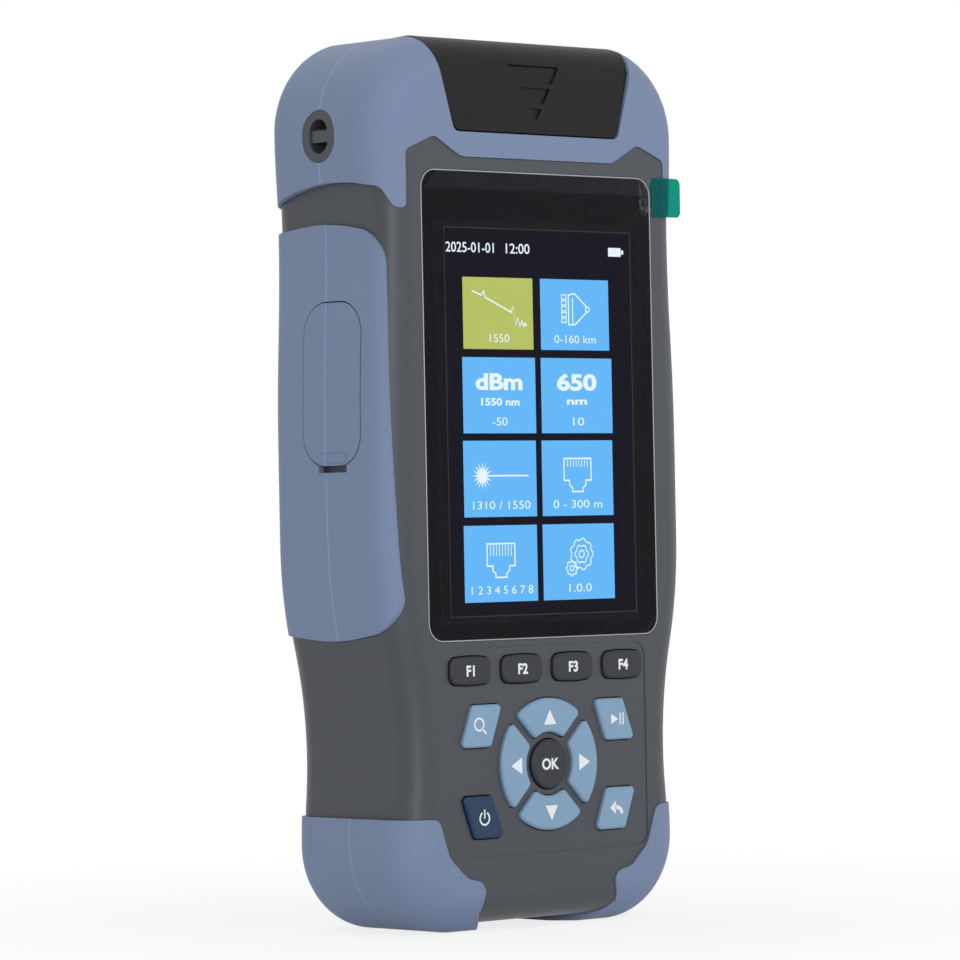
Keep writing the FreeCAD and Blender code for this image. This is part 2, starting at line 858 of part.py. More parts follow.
def front_shell():
    """Front half shell: rolled edge, screen recess, dished keypad, posts for the board and case
    screws, and half of the port deck."""
    core = front_core(rubber_inset)
    cavity = front_core(wall).common(block(-far, far, -far, far, -far, cavity_top))
    solid = front_form(bare).cut([rubber_pockets(core), cavity])
    collars = [strap_ring(side) for side in (-1, 1)]
    posts = []
    holes = []
    for x, z in case_screw_spots:
        posts.append(rod_y(x, z, case_post_r, inner_front - 0.5, parting_y + 5))
        holes.append(rod_y(x, z, case_screw_r + screw_seat_gap, inner_front + 1.5, parting_y + 6))
    for x, z in board_screw_spots:
        posts.append(rod_y(x, z, board_post_r, inner_front - 0.5, board_front))
        holes.append(rod_y(x, z, board_screw_r + screw_seat_gap, inner_front + 1.5, board_front + 1))
    solid = solid.fuse(collars + posts)
    window = round_rect(window_width, window_height, window_corner_r, 0, window_z, xz)
    view = round_rect(view_width, view_height, 1.0, 0, view_z, xz)
    dish_height = dish_top_rise - dish_rise
    dish_z = body_bottom + dish_rise + dish_height / 2
    dish = round_rect(2 * dish_half, dish_height, dish_corner_r, 0, dish_z, xz)
    cuts = [
        along_y(window, -far, front_y + window_thick),
        along_y(view, -far, inner_front + 1),
        along_y(dish, -far, front_y + dish_deep),
        cut_bay,
        panel_seat(),
        flap_pocket(),
        *[strap_mouth(side) for side in (-1, 1)],
        *holes,
    ]
    for outline, x, z in keys.values():
        cuts.append(key_prism(outline, key_gap, front_y - 1, inner_front + 1, x, z))
    return tidy(solid.cut(cuts).common(in_front))


def tray_block(grow, y0, y1):
    """Upright block of the battery tray."""
    half = tray_half + grow
    height = tray_half_height + grow
    return block(-half, half, y0, y1, tray_z - height, tray_z + height)


def door_face(grow):
    """Outline of the battery door, which reaches past the tray at its head for two screws."""
    width = 2 * (tray_half + door_rim + grow)
    low = tray_z - tray_half_height - door_rim - grow
    high = tray_z + tray_half_height + door_rim + door_head + grow
    return round_rect(width, high - low, door_corner_r + grow, 0, (low + high) / 2, xz)


def back_shell():
    """Back half shell: rolled edge, battery tray with its door seat, and screw towers."""
    core = back_core(rubber_inset)
    cavity = back_core(wall).common(block(-far, far, -far, far, -far, cavity_top))
    solid = back_form(bare).cut([rubber_pockets(core), cavity])
    extras = [strap_ring(side) for side in (-1, 1)]
    holes = []
    for x, z in case_screw_spots:
        extras.append(rod_y(x, z, case_post_r, parting_y - 8, back_y - wall / 2))
        holes.append(rod_y(x, z, case_screw_r + screw_hole_gap, -far, far))
        holes.append(rod_y(x, z, case_screw_head_r + screw_hole_gap, case_screw_seat, far))
    solid = solid.fuse(extras).cut(in_front)
    tray = tray_block(tray_wall, tray_inner - tray_floor, tray_back)
    collar = along_y(door_face(tray_wall), tray_back - tray_wall, tray_back)
    bosses = []
    for side in (-1, 1):
        x = side * door_screw_half
        bosses.append(rod_y(x, door_screw_z, door_boss_r, tray_back - door_screw_length - 1, tray_back))
        pilot_r = door_screw_r + screw_seat_gap
        holes.append(rod_y(x, door_screw_z, pilot_r, tray_back - door_screw_length, far))
    holes.append(tray_block(0, tray_inner, far))
    holes.append(along_y(door_face(door_gap), tray_back, far))
    holes.append(rod_x(hinge_y, hinge_z, hinge_pin_r + pin_seat_gap, -hinge_pin_half, hinge_pin_half))
    cuts = [cut_bay, panel_seat(), flap_pocket(), *[strap_mouth(side) for side in (-1, 1)], *holes]
    return tidy(solid.fuse([tray, collar, *bosses]).cut(cuts))


# ---------------------------------------------------------------- rubber
def rubber(region, skin, extra_cuts):
    """A rubber piece in two halves that meet at the parting line with a fine seam: the region
    between the shell's core and the form under a skin."""
    halves = []
    front = front_form(skin).common(region).common(parting(-rubber_seam / 2))
    halves.append(front.cut([front_core(rubber_inset - bond_gap), *extra_cuts]))
    rear = back_form(skin).common(region).cut(parting(rubber_seam / 2))
    halves.append(rear.cut([back_core(rubber_inset - bond_gap), *extra_cuts]))
    return [tidy(half) for half in halves]


def bumpers_and_grips():
    """All rubber pieces by name."""
    pieces = {}
    ovals = [along_x(strap_oval(strap_ring_width, strap_ring_height, bond_gap), -far, far)]
    wells = [rod_y(x, z, case_post_r + bond_gap, parting_y, far) for x, z in case_screw_spots]
    top = rubber(top_bumper_region(-bond_gap), bumper_skin, [cut_bay, *ovals, *wells])
    pieces["top_bumper_front"], pieces["top_bumper_rear"] = top
    pocket = [along_x(flap_outline(flap_gap), -far, 0), nail_slot_block()]
    for side, word in ((-1, "left"), (1, "right")):
        cuts = (pocket if side < 0 else []) + wells
        grip = rubber(grip_region(side, -bond_gap), grip_skin, cuts)
        pieces[f"{word}_grip_front"], pieces[f"{word}_grip_rear"] = grip
        heel = rubber(heel_region(side, -bond_gap), bumper_skin, [])
        pieces[f"bottom_{word}_bumper_front"], pieces[f"bottom_{word}_bumper_rear"] = heel
    return pieces


# ---------------------------------------------------------------- port cover and its pin
def arrow_marks():
    """Downward arrow in the skirt: a triangle cut into three level bands."""
    marks = []
    top = bay_floor + arrow_rise
    for start, end in arrow_bands:
        upper, lower = [arrow_width / 2 * (1 - drop / arrow_height) for drop in (start, end)]
        points = [xz(-upper, top - start), xz(upper, top - start), xz(lower, top - end), xz(-lower, top - end)]
        band = Part.Face(Part.makePolygon([*points, points[0]]))
        marks.append(along_y(band, cover_face - 1, hinge_y).cut(cover_skin(arrow_deep)))
    return marks


def port_cover():
    """Cap over the ports: a skirt in front, a top plate, cheeks inside its flanks and a barrel
    round the hinge pin at the back, with an arrow pressed into the skirt."""
    outline = along_y(cover_outline(cover_gap, cover_top, cover_crown_r), -far, far)
    lid = cover_skin(0).common(outline)
    cheeks = lid.cut(along_y(cover_outline(cover_gap + cheek_wall, cover_top + 1, 0), -far, far))
    cheeks = cheeks.common(block(-far, far, front_y, hinge_y, bay_floor + cheek_rise, far))
    lid = lid.cut(cover_skin(cover_wall))
    sector = block(-hinge_half, hinge_half, hinge_y, far, hinge_z - hinge_rim_drop + cover_gap, far)
    barrel = rod_x(hinge_y, hinge_z, cover_barrel_r, -hinge_half, hinge_half)
    inner_r = cover_barrel_r - cover_wall
    barrel = barrel.cut(rod_x(hinge_y, hinge_z, inner_r, -hinge_half, hinge_half)).common(sector)
    ears = []
    for x0 in (-hinge_half, hinge_half - hinge_ear):
        disc = rod_x(hinge_y, hinge_z, cover_barrel_r - cover_wall / 2, x0, x0 + hinge_ear)
        keep = block(-far, far, hinge_y - hinge_hub_r, far, hinge_z - hinge_hub_r, far)
        ears.append(disc.common(keep))
    bore = rod_x(hinge_y, hinge_z, hinge_pin_r + pin_running_gap, -far, far)
    return tidy(lid.fuse([cheeks, barrel, *ears]).cut([bore, *arrow_marks()]))


def hinge_pin():
    return rod_x(hinge_y, hinge_z, hinge_pin_r, -hinge_pin_half, hinge_pin_half)


# ---------------------------------------------------------------- side flap
def port_flap():
    """Rubber flap in the left grip, with a plug behind it and a fingernail lip at its foot."""
    inner = flap_seat - flap_seat_gap
    plate = along_x(flap_outline(0), -far, 0).common(flank(grip_thick + flap_proud)).cut(flank(-inner))
    plug_face = flap_outline(-flap_ledge - flap_seat_gap)
    plug = along_x(plug_face, -far, 0).common(flank(-inner)).cut(flank(-inner - flap_plug))
    below_axis = block(-far, 0, -far, far, -far, flap_axis_z - 2 * flap_axis_drop - flap_plug)
    half = nail_width / 2
    foot = flap_z - flap_height / 2 + 0.6
    lip = block(-far, 0, flap_y - half, flap_y + half, foot, foot + nail_height)
    lip = lip.common(flank(grip_thick + flap_proud + nail_proud)).cut(flank(0))
    return tidy(plate.fuse([plug.common(below_axis), lip]))


# ---------------------------------------------------------------- screen
def screen_window():
    """Clear front pane with a fine bevel, flush with the front shell."""
    face = round_rect(window_width - 0.1, window_height - 0.1, window_corner_r, 0, window_z, xz)
    pane = along_y(face, front_y, front_y + window_thick)
    return pane.makeChamfer(window_bevel, rim_edges(pane, front_y))


def screen_film():
    """Thin protective film over the pane."""
    width = window_width - 2 * film_margin
    face = round_rect(width, window_height - 2 * film_margin, window_corner_r, 0, window_z, xz)
    return along_y(face, front_y - film_thick, front_y)


def film_pull_tab():
    """Tab on the film's upper right corner. It is bent up to pass over the bumper's tooth and
    stands out past the housing's edge."""
    right = window_right + tab_reach
    left = right - tab_width
    top = window_top
    low = front_y - film_thick
    high = low - tab_lift
    path = [(left, low), (left + tab_flat, low), (bumper_tooth_half - rubber_seam, high), (right, high)]
    upper = [(x, y - tab_thick) for x, y in reversed(path)]
    corners = [xy(x, y) for x, y in path + upper]
    strip = Part.Face(Part.makePolygon([*corners, corners[0]]))
    face = round_rect(tab_width, tab_height, tab_corner_r, right - tab_width / 2, top - tab_height / 2, xz)
    return tidy(along_z(strip, top - tab_height, top).common(along_y(face, -far, far)))


def lcd_gasket():
    """Foam frame between the front wall and the display."""
    outer = round_rect(lcd_width, lcd_height, 1.0, 0, lcd_z, xz)
    hole = round_rect(view_width, view_height, 1.0, 0, view_z, xz)
    return along_y(outer.cut(hole), inner_front, inner_front + gasket_thick)


def lcd_module():
    """Display panel in its metal frame, with the panel's edge as a step."""
    y0 = inner_front + gasket_thick
    frame = along_y(round_rect(lcd_width, lcd_height, 1.0, 0, lcd_z, xz), y0, y0 + lcd_thick)
    step = round_rect(view_width - 1, view_height - 1, 0.5, 0, view_z, xz)
    return tidy(frame.cut(along_y(step, y0, y0 + 0.3)))


# ---------------------------------------------------------------- keys, mat, board
def key_cap(name):
    """One key: a cap through the shell, a flange behind the wall and a stem to its switch."""
    outline, x, z = keys[name]
    flange_front = inner_front + key_gap
    flange_back = flange_front + key_flange_thick
    cap = key_prism(outline, 0, front_y - key_proud, flange_back, x, z)
    cap = cap.makeChamfer(key_edge, rim_edges(cap, front_y - key_proud))
    flange = key_prism(outline, key_flange, flange_front, flange_back, x, z)
    stem = rod_y(*key_middle(name), key_stem_r, flange_front, stem_end)
    return tidy(cap.fuse([flange, stem]))


switch_front = board_front - switch_body
stem_end = switch_front - key_stem_gap - key_travel


def key_switches():
    """A square switch with a round plunger behind each key, soldered to the board."""
    group = []
    for name in keys:
        x, z = key_middle(name)
        half = switch_size / 2
        body = block(x - half, x + half, switch_front, board_front, z - half, z + half)
        group.append(body)
    return Part.makeCompound(group)


def keypad_mat():
    """Silicone mat on the board, with a hole round each switch."""
    low = pad_z - slant_key_drop - slant_key_height / 2 - mat_margin
    high = soft_key_z + soft_key_height / 2 + mat_margin
    face = round_rect(2 * mat_half, high - low, 2.0, 0, (low + high) / 2, xz)
    mat = along_y(face, board_front - mat_thick, board_front)
    holes = [rod_y(*key_middle(name), mat_hole_r, -far, far) for name in keys]
    posts = [rod_y(x, z, board_post_r + key_gap, -far, far) for x, z in board_screw_spots]
    posts += [rod_y(x, z, case_post_r + key_gap, -far, far) for x, z in case_screw_spots]
    return tidy(mat.cut(holes + posts))


def main_board():
    """Printed circuit board that follows the housing's sides, notched round the case posts and
    drilled for its screws."""
    board = along_y(front_outline(-wall - board_edge_gap), board_front, board_back)
    board = board.common(block(-far, far, -far, far, board_bottom, board_top))
    notches = [rod_y(x, z, case_post_r + key_gap, -far, far) for x, z in case_screw_spots]
    holes = [rod_y(x, z, board_screw_r + screw_hole_gap, -far, far) for x, z in board_screw_spots]
    return tidy(board.cut(notches + holes))


def board_screws():
    """Pan-head screws that hold the board to the front shell's posts."""
    group = []
    for x, z in board_screw_spots:
        head = rod_y(x, z, board_screw_head_r, board_back, board_back + board_screw_head)
        shank = rod_y(x, z, board_screw_r, board_back + board_screw_head - board_screw_length, board_back)
        group.append(head.fuse(shank).removeSplitter())
    return Part.makeCompound(group)


def optical_module():
    """Shielded optical engine on the back of the board."""
    x = module_left + module_width / 2
    z = module_top - module_height / 2
    face = round_rect(module_width, module_height, module_corner_r, x, z, xz)
    can = along_y(face, board_back, board_back + module_thick)
    lid = round_rect(module_width - 3, module_height - 3, module_corner_r, x, z, xz)
    return tidy(can.cut(along_y(lid, board_back + module_thick - 0.4, far)))


# ---------------------------------------------------------------- side sockets
def network_jack():
    """Eight-way modular jack that faces the left flank, with its latch channel."""
    x0 = socket_face
    half = jack_width / 2
    body = block(x0, x0 + jack_length, board_back, board_back + jack_height, jack_z - half, jack_z + half)
    mouth_y = board_back + (jack_height - jack_mouth_height - jack_latch_height) / 2
    mouth_half = jack_mouth_width / 2
    latch_half = jack_latch_width / 2
    mouth_back = mouth_y + jack_mouth_height
    deep = x0 + jack_mouth_deep
    mouth = block(x0 - 1, deep, mouth_y, mouth_back, jack_z - mouth_half, jack_z + mouth_half)
    latch_back = mouth_back + jack_latch_height
    latch = block(x0 - 1, deep, mouth_back - 1, latch_back, jack_z - latch_half, jack_z + latch_half)
    return tidy(body.cut([mouth, latch]))


def charging_socket():
    """Round-ended metal socket with a tongue, beside the jack."""
    y = board_back + usb_height / 2
    x0 = socket_face
    outer = round_rect(usb_height, usb_width, usb_height / 2 - 0.01, y, usb_z, yz)
    thin = 2 * usb_shell
    inner = round_rect(usb_height - thin, usb_width - thin, usb_height / 2 - usb_shell - 0.01, y, usb_z, yz)
    shell = along_x(outer, x0, x0 + usb_length).cut(along_x(inner, x0 - 1, x0 + usb_length - 1))
    half = usb_tongue / 2
    wide = usb_width / 2 - 1.2
    tongue = block(x0 + 0.8, x0 + usb_length - 0.5, y - half, y + half, usb_z - wide, usb_z + wide)
    return tidy(shell.fuse(tongue))


# ---------------------------------------------------------------- optical ports
def port_panel():
    """Panel that carries the three ports, clamped between the shells."""
    plate = along_z(panel_outline(0), panel_top - panel_thick, panel_top)
    holes = [rod_z(i * port_pitch, port_y, port_tail_r + port_gap, -far, far) for i in (-1, 0, 1)]
    return tidy(plate.cut(holes))


def port_body(index, barrel_r, barrel_tall):
    """A port: a square flange on the panel, a barrel above it and a tail below, bored for a
    2.5 mm ferrule."""
    x = index * port_pitch
    side = port_flange_half
    top = panel_top + port_tall
    flange_face = round_rect(2 * side, 2 * side, 1.2, x, port_y, xy)
    flange = along_z(flange_face, panel_top, panel_top + port_flange_thick)
    barrel = rod_z(x, port_y, barrel_r, panel_top, panel_top + barrel_tall)
    sleeve = rod_z(x, port_y, port_tail_r, panel_top - port_tail, top)
    return tidy(flange.fuse([barrel, sleeve]))


def bored(solid, index, deep):
    """The port with its ferrule bore from the mouth down."""
    top = panel_top + port_tall
    return tidy(solid.cut(rod_z(index * port_pitch, port_y, ferrule_r, top - deep, top + 1)))


def reflectometer_port():
    """Screw-type port with a keyway in its collar."""
    solid = port_body(-1, port_barrel_r, port_tall - 1.0)
    x = -port_pitch
    annulus_outer = rod_z(x, port_y, port_barrel_r - 0.6, panel_top + 4, far)
    annulus = annulus_outer.cut(rod_z(x, port_y, ferrule_r + 0.75, panel_top, far))
    keyway = block(x - 1.0, x + 1.0, port_y - port_barrel_r - 1, port_y - 2.2, panel_top + 4, far)
    return bored(solid.cut([annulus, keyway]), -1, port_tall + 2)


def power_meter_port():
    """Wide-collared port in front of the power meter's detector."""
    return bored(port_body(0, meter_collar_r, meter_collar_tall), 0, port_tall + 2)


def fault_light_port():
    """Plain port of the visible light source."""
    return bored(port_body(1, port_barrel_r, port_tall - 2.5), 1, port_tall + 2)


# ---------------------------------------------------------------- battery
def battery():
    """Flat lithium pack in its sleeve."""
    face = round_rect(battery_width, battery_height, battery_corner_r, 0, tray_z, xz)
    return along_y(face, tray_inner, battery_back)


def battery_door():
    """Flush door over the tray, held by two sunk screws at its head."""
    door = along_y(door_face(0), tray_back, back_y)
    cuts = []
    for side in (-1, 1):
        x = side * door_screw_half
        cuts.append(rod_y(x, door_screw_z, door_screw_r + screw_hole_gap, -far, far))
        cuts.append(rod_y(x, door_screw_z, door_screw_head_r + screw_hole_gap, back_y - door_screw_head, far))
    grooves = []
    for i in range(5):
        z = tray_z + tray_half_height - 4.0 - 2.4 * i
        grooves.append(block(-9.0, 9.0, back_y - 0.5, far, z - 0.5, z + 0.5))
    return tidy(door.cut(cuts + grooves))


def battery_door_screws():
    """Two sunk screws through the door's head."""
    group = []
    for side in (-1, 1):
        x = side * door_screw_half
        neck = back_y - door_screw_head
        head = rod_y(x, door_screw_z, door_screw_head_r, neck, back_y - 0.05)
        shank = rod_y(x, door_screw_z, door_screw_r, tray_back - door_screw_length + 0.5, neck)
        group.append(head.fuse(shank).removeSplitter())
    return Part.makeCompound(group)


def case_screws():
    """Four long screws from the back shell into the front shell's posts."""
    group = []
    for x, z in case_screw_spots:
        head = rod_y(x, z, case_screw_head_r, case_screw_seat, case_screw_seat + case_screw_head)
        shank = rod_y(x, z, case_screw_r, case_screw_seat - case_screw_length, case_screw_seat)
        group.append(head.fuse(shank).removeSplitter())
    return Part.makeCompound(group)


# ---------------------------------------------------------------- build
builders = {
    "front_shell": front_shell,
    "rear_shell": back_shell,
    "port_cover": port_cover,
    "cover_hinge_pin": hinge_pin,
    "port_flap": port_flap,
    "screen_window": screen_window,
    "screen_film": screen_film,
    "film_pull_tab": film_pull_tab,
    "lcd_gasket": lcd_gasket,
    "lcd_module": lcd_module,
    "keypad_mat": keypad_mat,
    "key_switches": key_switches,
    "main_board": main_board,
    "board_screws": board_screws,
    "optical_module": optical_module,
    "network_jack": network_jack,
    "charging_socket": charging_socket,
    "port_panel": port_panel,
    "reflectometer_port": reflectometer_port,
    "power_meter_port": power_meter_port,
    "fault_light_port": fault_light_port,
    "battery": battery,
    "battery_door": battery_door,
    "battery_door_screws": battery_door_screws,
    "case_screws": case_screws,
}


def main():
    for name, build in builders.items():
        save(name, build())
    for name in keys:
        save(name, key_cap(name))
    for name, piece in bumpers_and_grips().items():
        save(name, piece)


if __name__ == "__main__":
    main()
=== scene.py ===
"""A handheld optical time domain reflectometer, dressed over its CAD parts.

Laid out as a Blender add-on: the property groups hold its sizes and colours, one operator makes
each piece or group of like pieces, and a panel in the 3D view's sidebar lists them. Lengths are
in metres. +Z is up, the screen faces -Y, and +X is to the right of the person who reads it."""

import json
import math

import bmesh
import bpy
import numpy as np
from mathutils import Euler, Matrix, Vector


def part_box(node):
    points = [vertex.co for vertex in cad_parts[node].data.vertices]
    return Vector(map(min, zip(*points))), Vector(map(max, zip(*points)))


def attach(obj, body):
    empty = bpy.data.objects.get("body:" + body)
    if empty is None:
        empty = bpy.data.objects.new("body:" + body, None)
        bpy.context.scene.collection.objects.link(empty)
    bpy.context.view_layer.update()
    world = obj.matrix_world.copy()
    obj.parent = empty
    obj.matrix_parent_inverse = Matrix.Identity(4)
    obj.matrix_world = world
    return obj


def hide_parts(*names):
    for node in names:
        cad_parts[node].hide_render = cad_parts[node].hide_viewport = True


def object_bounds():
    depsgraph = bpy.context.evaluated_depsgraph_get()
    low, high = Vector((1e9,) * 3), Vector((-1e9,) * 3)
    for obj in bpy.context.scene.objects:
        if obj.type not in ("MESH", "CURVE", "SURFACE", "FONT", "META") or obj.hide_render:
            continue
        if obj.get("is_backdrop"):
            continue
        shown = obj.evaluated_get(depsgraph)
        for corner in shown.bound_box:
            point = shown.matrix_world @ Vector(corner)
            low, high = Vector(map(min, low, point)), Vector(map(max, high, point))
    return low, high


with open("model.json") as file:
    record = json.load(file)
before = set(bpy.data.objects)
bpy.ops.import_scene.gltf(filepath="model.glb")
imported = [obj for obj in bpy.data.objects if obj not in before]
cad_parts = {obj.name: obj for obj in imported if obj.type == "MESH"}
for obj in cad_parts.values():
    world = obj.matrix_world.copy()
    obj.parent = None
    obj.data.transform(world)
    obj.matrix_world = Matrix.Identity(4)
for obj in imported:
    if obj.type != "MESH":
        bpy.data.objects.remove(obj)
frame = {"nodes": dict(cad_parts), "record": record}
cad_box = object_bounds()

bl_info = {
    "name": "Optical time domain reflectometer",
    "version": (1, 0, 0),
    "blender": (4, 5, 0),
    "location": "3D View > Sidebar > Reflectometer",
    "description": "Dresses the CAD parts of a handheld fibre tester",
    "category": "Object",
}

MM = 0.001
NODES = frame["nodes"]
BODIES = frame["record"]["behaviour"]["bodies"]
BODY_OF = {node: body for body, members in BODIES.items() for node in members}
RUBBER_NODES = [name for name in NODES if "bumper" in name or "grip" in name] + ["port_flap"]
KEYS = [name for name in NODES if name.startswith("key_") and name != "key_switches"]
SOFT_KEYS = ["key_f1", "key_f2", "key_f3", "key_f4"]
ARROW_KEYS = {"key_up": 0, "key_right": 270, "key_down": 180, "key_left": 90}
MARK_SLOT = {part["node"]: part["material_slot"] for part in frame["record"]["subparts"]}
WINDOW_LOW, WINDOW_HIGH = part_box("screen_window")
GLASS_Y = WINDOW_LOW.y
INSIDES = {
    "lcd_gasket": "foam",
    "lcd_module": "panel",
    "keypad_mat": "silicone",
    "key_switches": "switch",
    "main_board": "laminate",
    "board_screws": "steel",
    "optical_module": "can",
    "network_jack": "black_plastic_and_recess_shade",
    "charging_socket": "contact",
    "reflectometer_port": "nickel",
    "power_meter_port": "nickel",
    "fault_light_port": "nickel",
    "battery": "sleeve",
    "battery_door_screws": "steel",
    "case_screws": "steel",
}
# Figures under the pictures on the menu tiles, and how wide they are in millimetres
CAPTIONS = [
    ("1550", 5.1),
    ("0-160 km", 11.0),
    ("-50", 3.9),
    ("10", 3.0),
    ("1310 / 1550", 14.9),
    ("0 - 300 m", 13.0),
    ("1 2 3 4 5 6 7 8", 16.0),
    ("1.0.0", 6.0),
]
# Each row of menu tiles in millimetres: drop of its top edge below the first, height, left edge of
# its first tile from the middle, width of a tile and gap between its two tiles
TILE_ROWS = [
    (0.0, 13.6, -20.0, 18.2, 2.0),
    (15.15, 14.4, -20.4, 18.9, 1.5),
    (30.95, 14.45, -20.6, 18.9, 1.5),
    (47.0, 14.5, -20.85, 19.0, 1.5),
]
# Place, size and power of each lamp
LAMPS = {
    "front": ((-0.1, -1.6, 1.1), 1.3, 8.0),
    "left": ((-1.1, -1.15, 0.3), 0.5, 5.5),
    "right": ((1.4, -0.9, 0.5), 0.7, 1.5),
    "top": ((0.1, 0.7, 1.6), 1.0, 4.0),
}
LAMP_AIM = (0, 0, 0.08)
FLOOR_HALF = 3.0
# Height below which the seam leans, and its lean in depth per height
SEAM_BEND = 0.0876
SEAM_SLOPE = 0.01744
# Width of the band painted paler along the seam, a painted highlight
SEAM_HIGHLIGHT_WIDTH = 0.12 * MM
# How far printing, and the painted shade of the screw recesses, stand off the face under them
PRINT_AND_SHADE_LIFT = 0.012 * MM
RUBBER_BEVEL = 0.18 * MM
KEY_BEVEL = 0.12 * MM
# Edges that turn by more than this stay sharp
SHARP_TURN = math.radians(24)


# ---------------------------------------------------------------- properties
def colour(name, description, default):
    """A colour property without alpha."""
    return bpy.props.FloatVectorProperty(
        name=name, description=description, default=default, subtype="COLOR", size=3, min=0, max=1
    )


def length(name, description, default):
    """A length property, with its default in metres."""
    return bpy.props.FloatProperty(
        name=name, description=description, default=default, unit="LENGTH", precision=5
    )


def share(name, description, default):
    """A property between nought and one."""
    return bpy.props.FloatProperty(
        name=name, description=description, default=default, subtype="FACTOR", min=0, max=1
    )


class FinishSettings(bpy.types.PropertyGroup):
    """Colours of the finishes."""

    housing: colour("Housing", "Dark grey moulded plastic", (0.049, 0.055, 0.066))
    rubber: colour("Rubber", "Slate blue rubber", (0.172, 0.23, 0.365))
    cover: colour("Cover", "Near-black port cover", (0.008, 0.008, 0.009))
    key_dark: colour("Dark keys", "Function and OK keys", (0.031, 0.032, 0.038))
    key_blue: colour("Light keys", "Arrow and corner keys", (0.232, 0.366, 0.52))
    key_navy: colour("Power key", "Navy power key", (0.013, 0.04, 0.095))
    legend: colour("Legends", "White printing on the keys", (0.82, 0.86, 0.9))
    border: colour("Border", "Black border of the window", (0.01, 0.01, 0.014))
    # Light grey of the bead round the glass: a painted highlight where the window's edge catches the light
    bevel: colour("Window edge", "Polished edge of the window", (0.42, 0.43, 0.44))
    tab: colour("Pull tab", "Green the pull tab gives back", (0.003, 0.07, 0.078))
    tab_through: colour("Tab tint", "Green the pull tab lets through", (0.02, 0.44, 0.33))
    grain: share("Grain", "Depth of the moulded grain", 0.35)


class ScreenSettings(bpy.types.PropertyGroup):
    """Sizes and colours of the lit screen."""

    width: length("Width", "Lit width of the screen", 48.96 * MM)
    height: length("Height", "Lit height of the screen", 73.44 * MM)
    centre_z: length("Centre", "Height of the screen's middle", 96.4 * MM)
    first_top: length("First tile top", "Top edge of the first tile from the middle", 27.4 * MM)
    line: length("Line", "Width of the lines in the tiles' pictures", 0.3 * MM)
    ground: colour("Ground", "Dark ground of the screen", (0.009, 0.008, 0.013))
    tile: colour("Tile", "Menu tiles", (0.13, 0.478, 0.945))
    chosen: colour("Chosen tile", "Menu tile that is selected", (0.47, 0.53, 0.13))
    rim: colour("Rim", "Fine line round the lit screen", (0.05, 0.05, 0.057))
    mark: colour("Marks", "Lines and figures on the screen", (0.8, 0.92, 0.97))


class StageSettings(bpy.types.PropertyGroup):
    """Camera, lamps and floor."""

    camera_place: bpy.props.FloatVectorProperty(
        name="Camera",
        description="Where the camera stands",
        default=(-0.66514, -0.71461, 0.07659),
        unit="LENGTH",
    )
    camera_turn: bpy.props.FloatVectorProperty(
        name="Camera turn",
        description="How the camera is turned",
        default=tuple(math.radians(a) for a in (90.532, 1.109, -42.907)),
        subtype="EULER",
    )
    lens: bpy.props.FloatProperty(name="Lens", description="Focal length in millimetres", default=189.15)
    lamp: bpy.props.FloatProperty(name="Lamps", description="Strength of the lamps", default=1.0, min=0)
    sky: share("Sky", "Strength of the light from all round", 0.5)
    floor: colour("Floor", "Floor and backdrop", (0.97, 0.97, 0.97))


def settings(name):
    """One of the scene's property groups."""
    return getattr(bpy.context.scene, name)


# ---------------------------------------------------------------- shader groups
def new_group(name, inputs, outputs):
    """An empty shader node group with float, colour or vector sockets."""
    kinds = {"float": "NodeSocketFloat", "colour": "NodeSocketColor", "vector": "NodeSocketVector"}
    group = bpy.data.node_groups.new(name, "ShaderNodeTree")
    for label, kind, default in inputs:
        socket = group.interface.new_socket(name=label, in_out="INPUT", socket_type=kinds[kind])
        socket.default_value = default
    for label, kind in outputs:
        group.interface.new_socket(name=label, in_out="OUTPUT", socket_type=kinds[kind])
    return group, group.nodes.new("NodeGroupInput"), group.nodes.new("NodeGroupOutput")


def add(tree, kind, values=None, **options):
    """A node with its options and its unlinked values set."""
    node = tree.nodes.new(kind)
    for key, value in options.items():
        setattr(node, key, value)
    for key, value in (values or {}).items():
        node.inputs[key].default_value = value
    return node


def grain_group():
    """Moulded grain: fine noise in two sizes as a height, with a slow drift of tone as a colour."""
    if "moulded_grain" in bpy.data.node_groups:
        return bpy.data.node_groups["moulded_grain"]
    inputs = [("Colour", "colour", (0.5, 0.5, 0.5, 1)), ("Scale", "float", 2500.0), ("Drift", "float", 0.06)]
    group, start, end = new_group("moulded_grain", inputs, [("Colour", "colour"), ("Height", "float")])
    link = group.links.new
    place = add(group, "ShaderNodeTexCoord")
    fine = add(group, "ShaderNodeTexNoise", {"Detail": 2.0, "Roughness": 0.6})
    link(place.outputs["Object"], fine.inputs["Vector"])
    link(start.outputs["Scale"], fine.inputs["Scale"])
    slow = add(group, "ShaderNodeTexNoise", {"Scale": 35.0, "Detail": 3.0})
    link(place.outputs["Object"], slow.inputs["Vector"])
    centred = add(group, "ShaderNodeMath", {1: 0.5}, operation="SUBTRACT")
    link(slow.outputs["Fac"], centred.inputs[0])
    drift = add(group, "ShaderNodeMath", {2: 1.0}, operation="MULTIPLY_ADD")
    link(centred.outputs[0], drift.inputs[0])
    link(start.outputs["Drift"], drift.inputs[1])
    tone = add(group, "ShaderNodeVectorMath", operation="SCALE")
    link(start.outputs["Colour"], tone.inputs[0])
    link(drift.outputs[0], tone.inputs["Scale"])
    link(tone.outputs[0], end.inputs["Colour"])
    link(fine.outputs["Fac"], end.inputs["Height"])
    return group


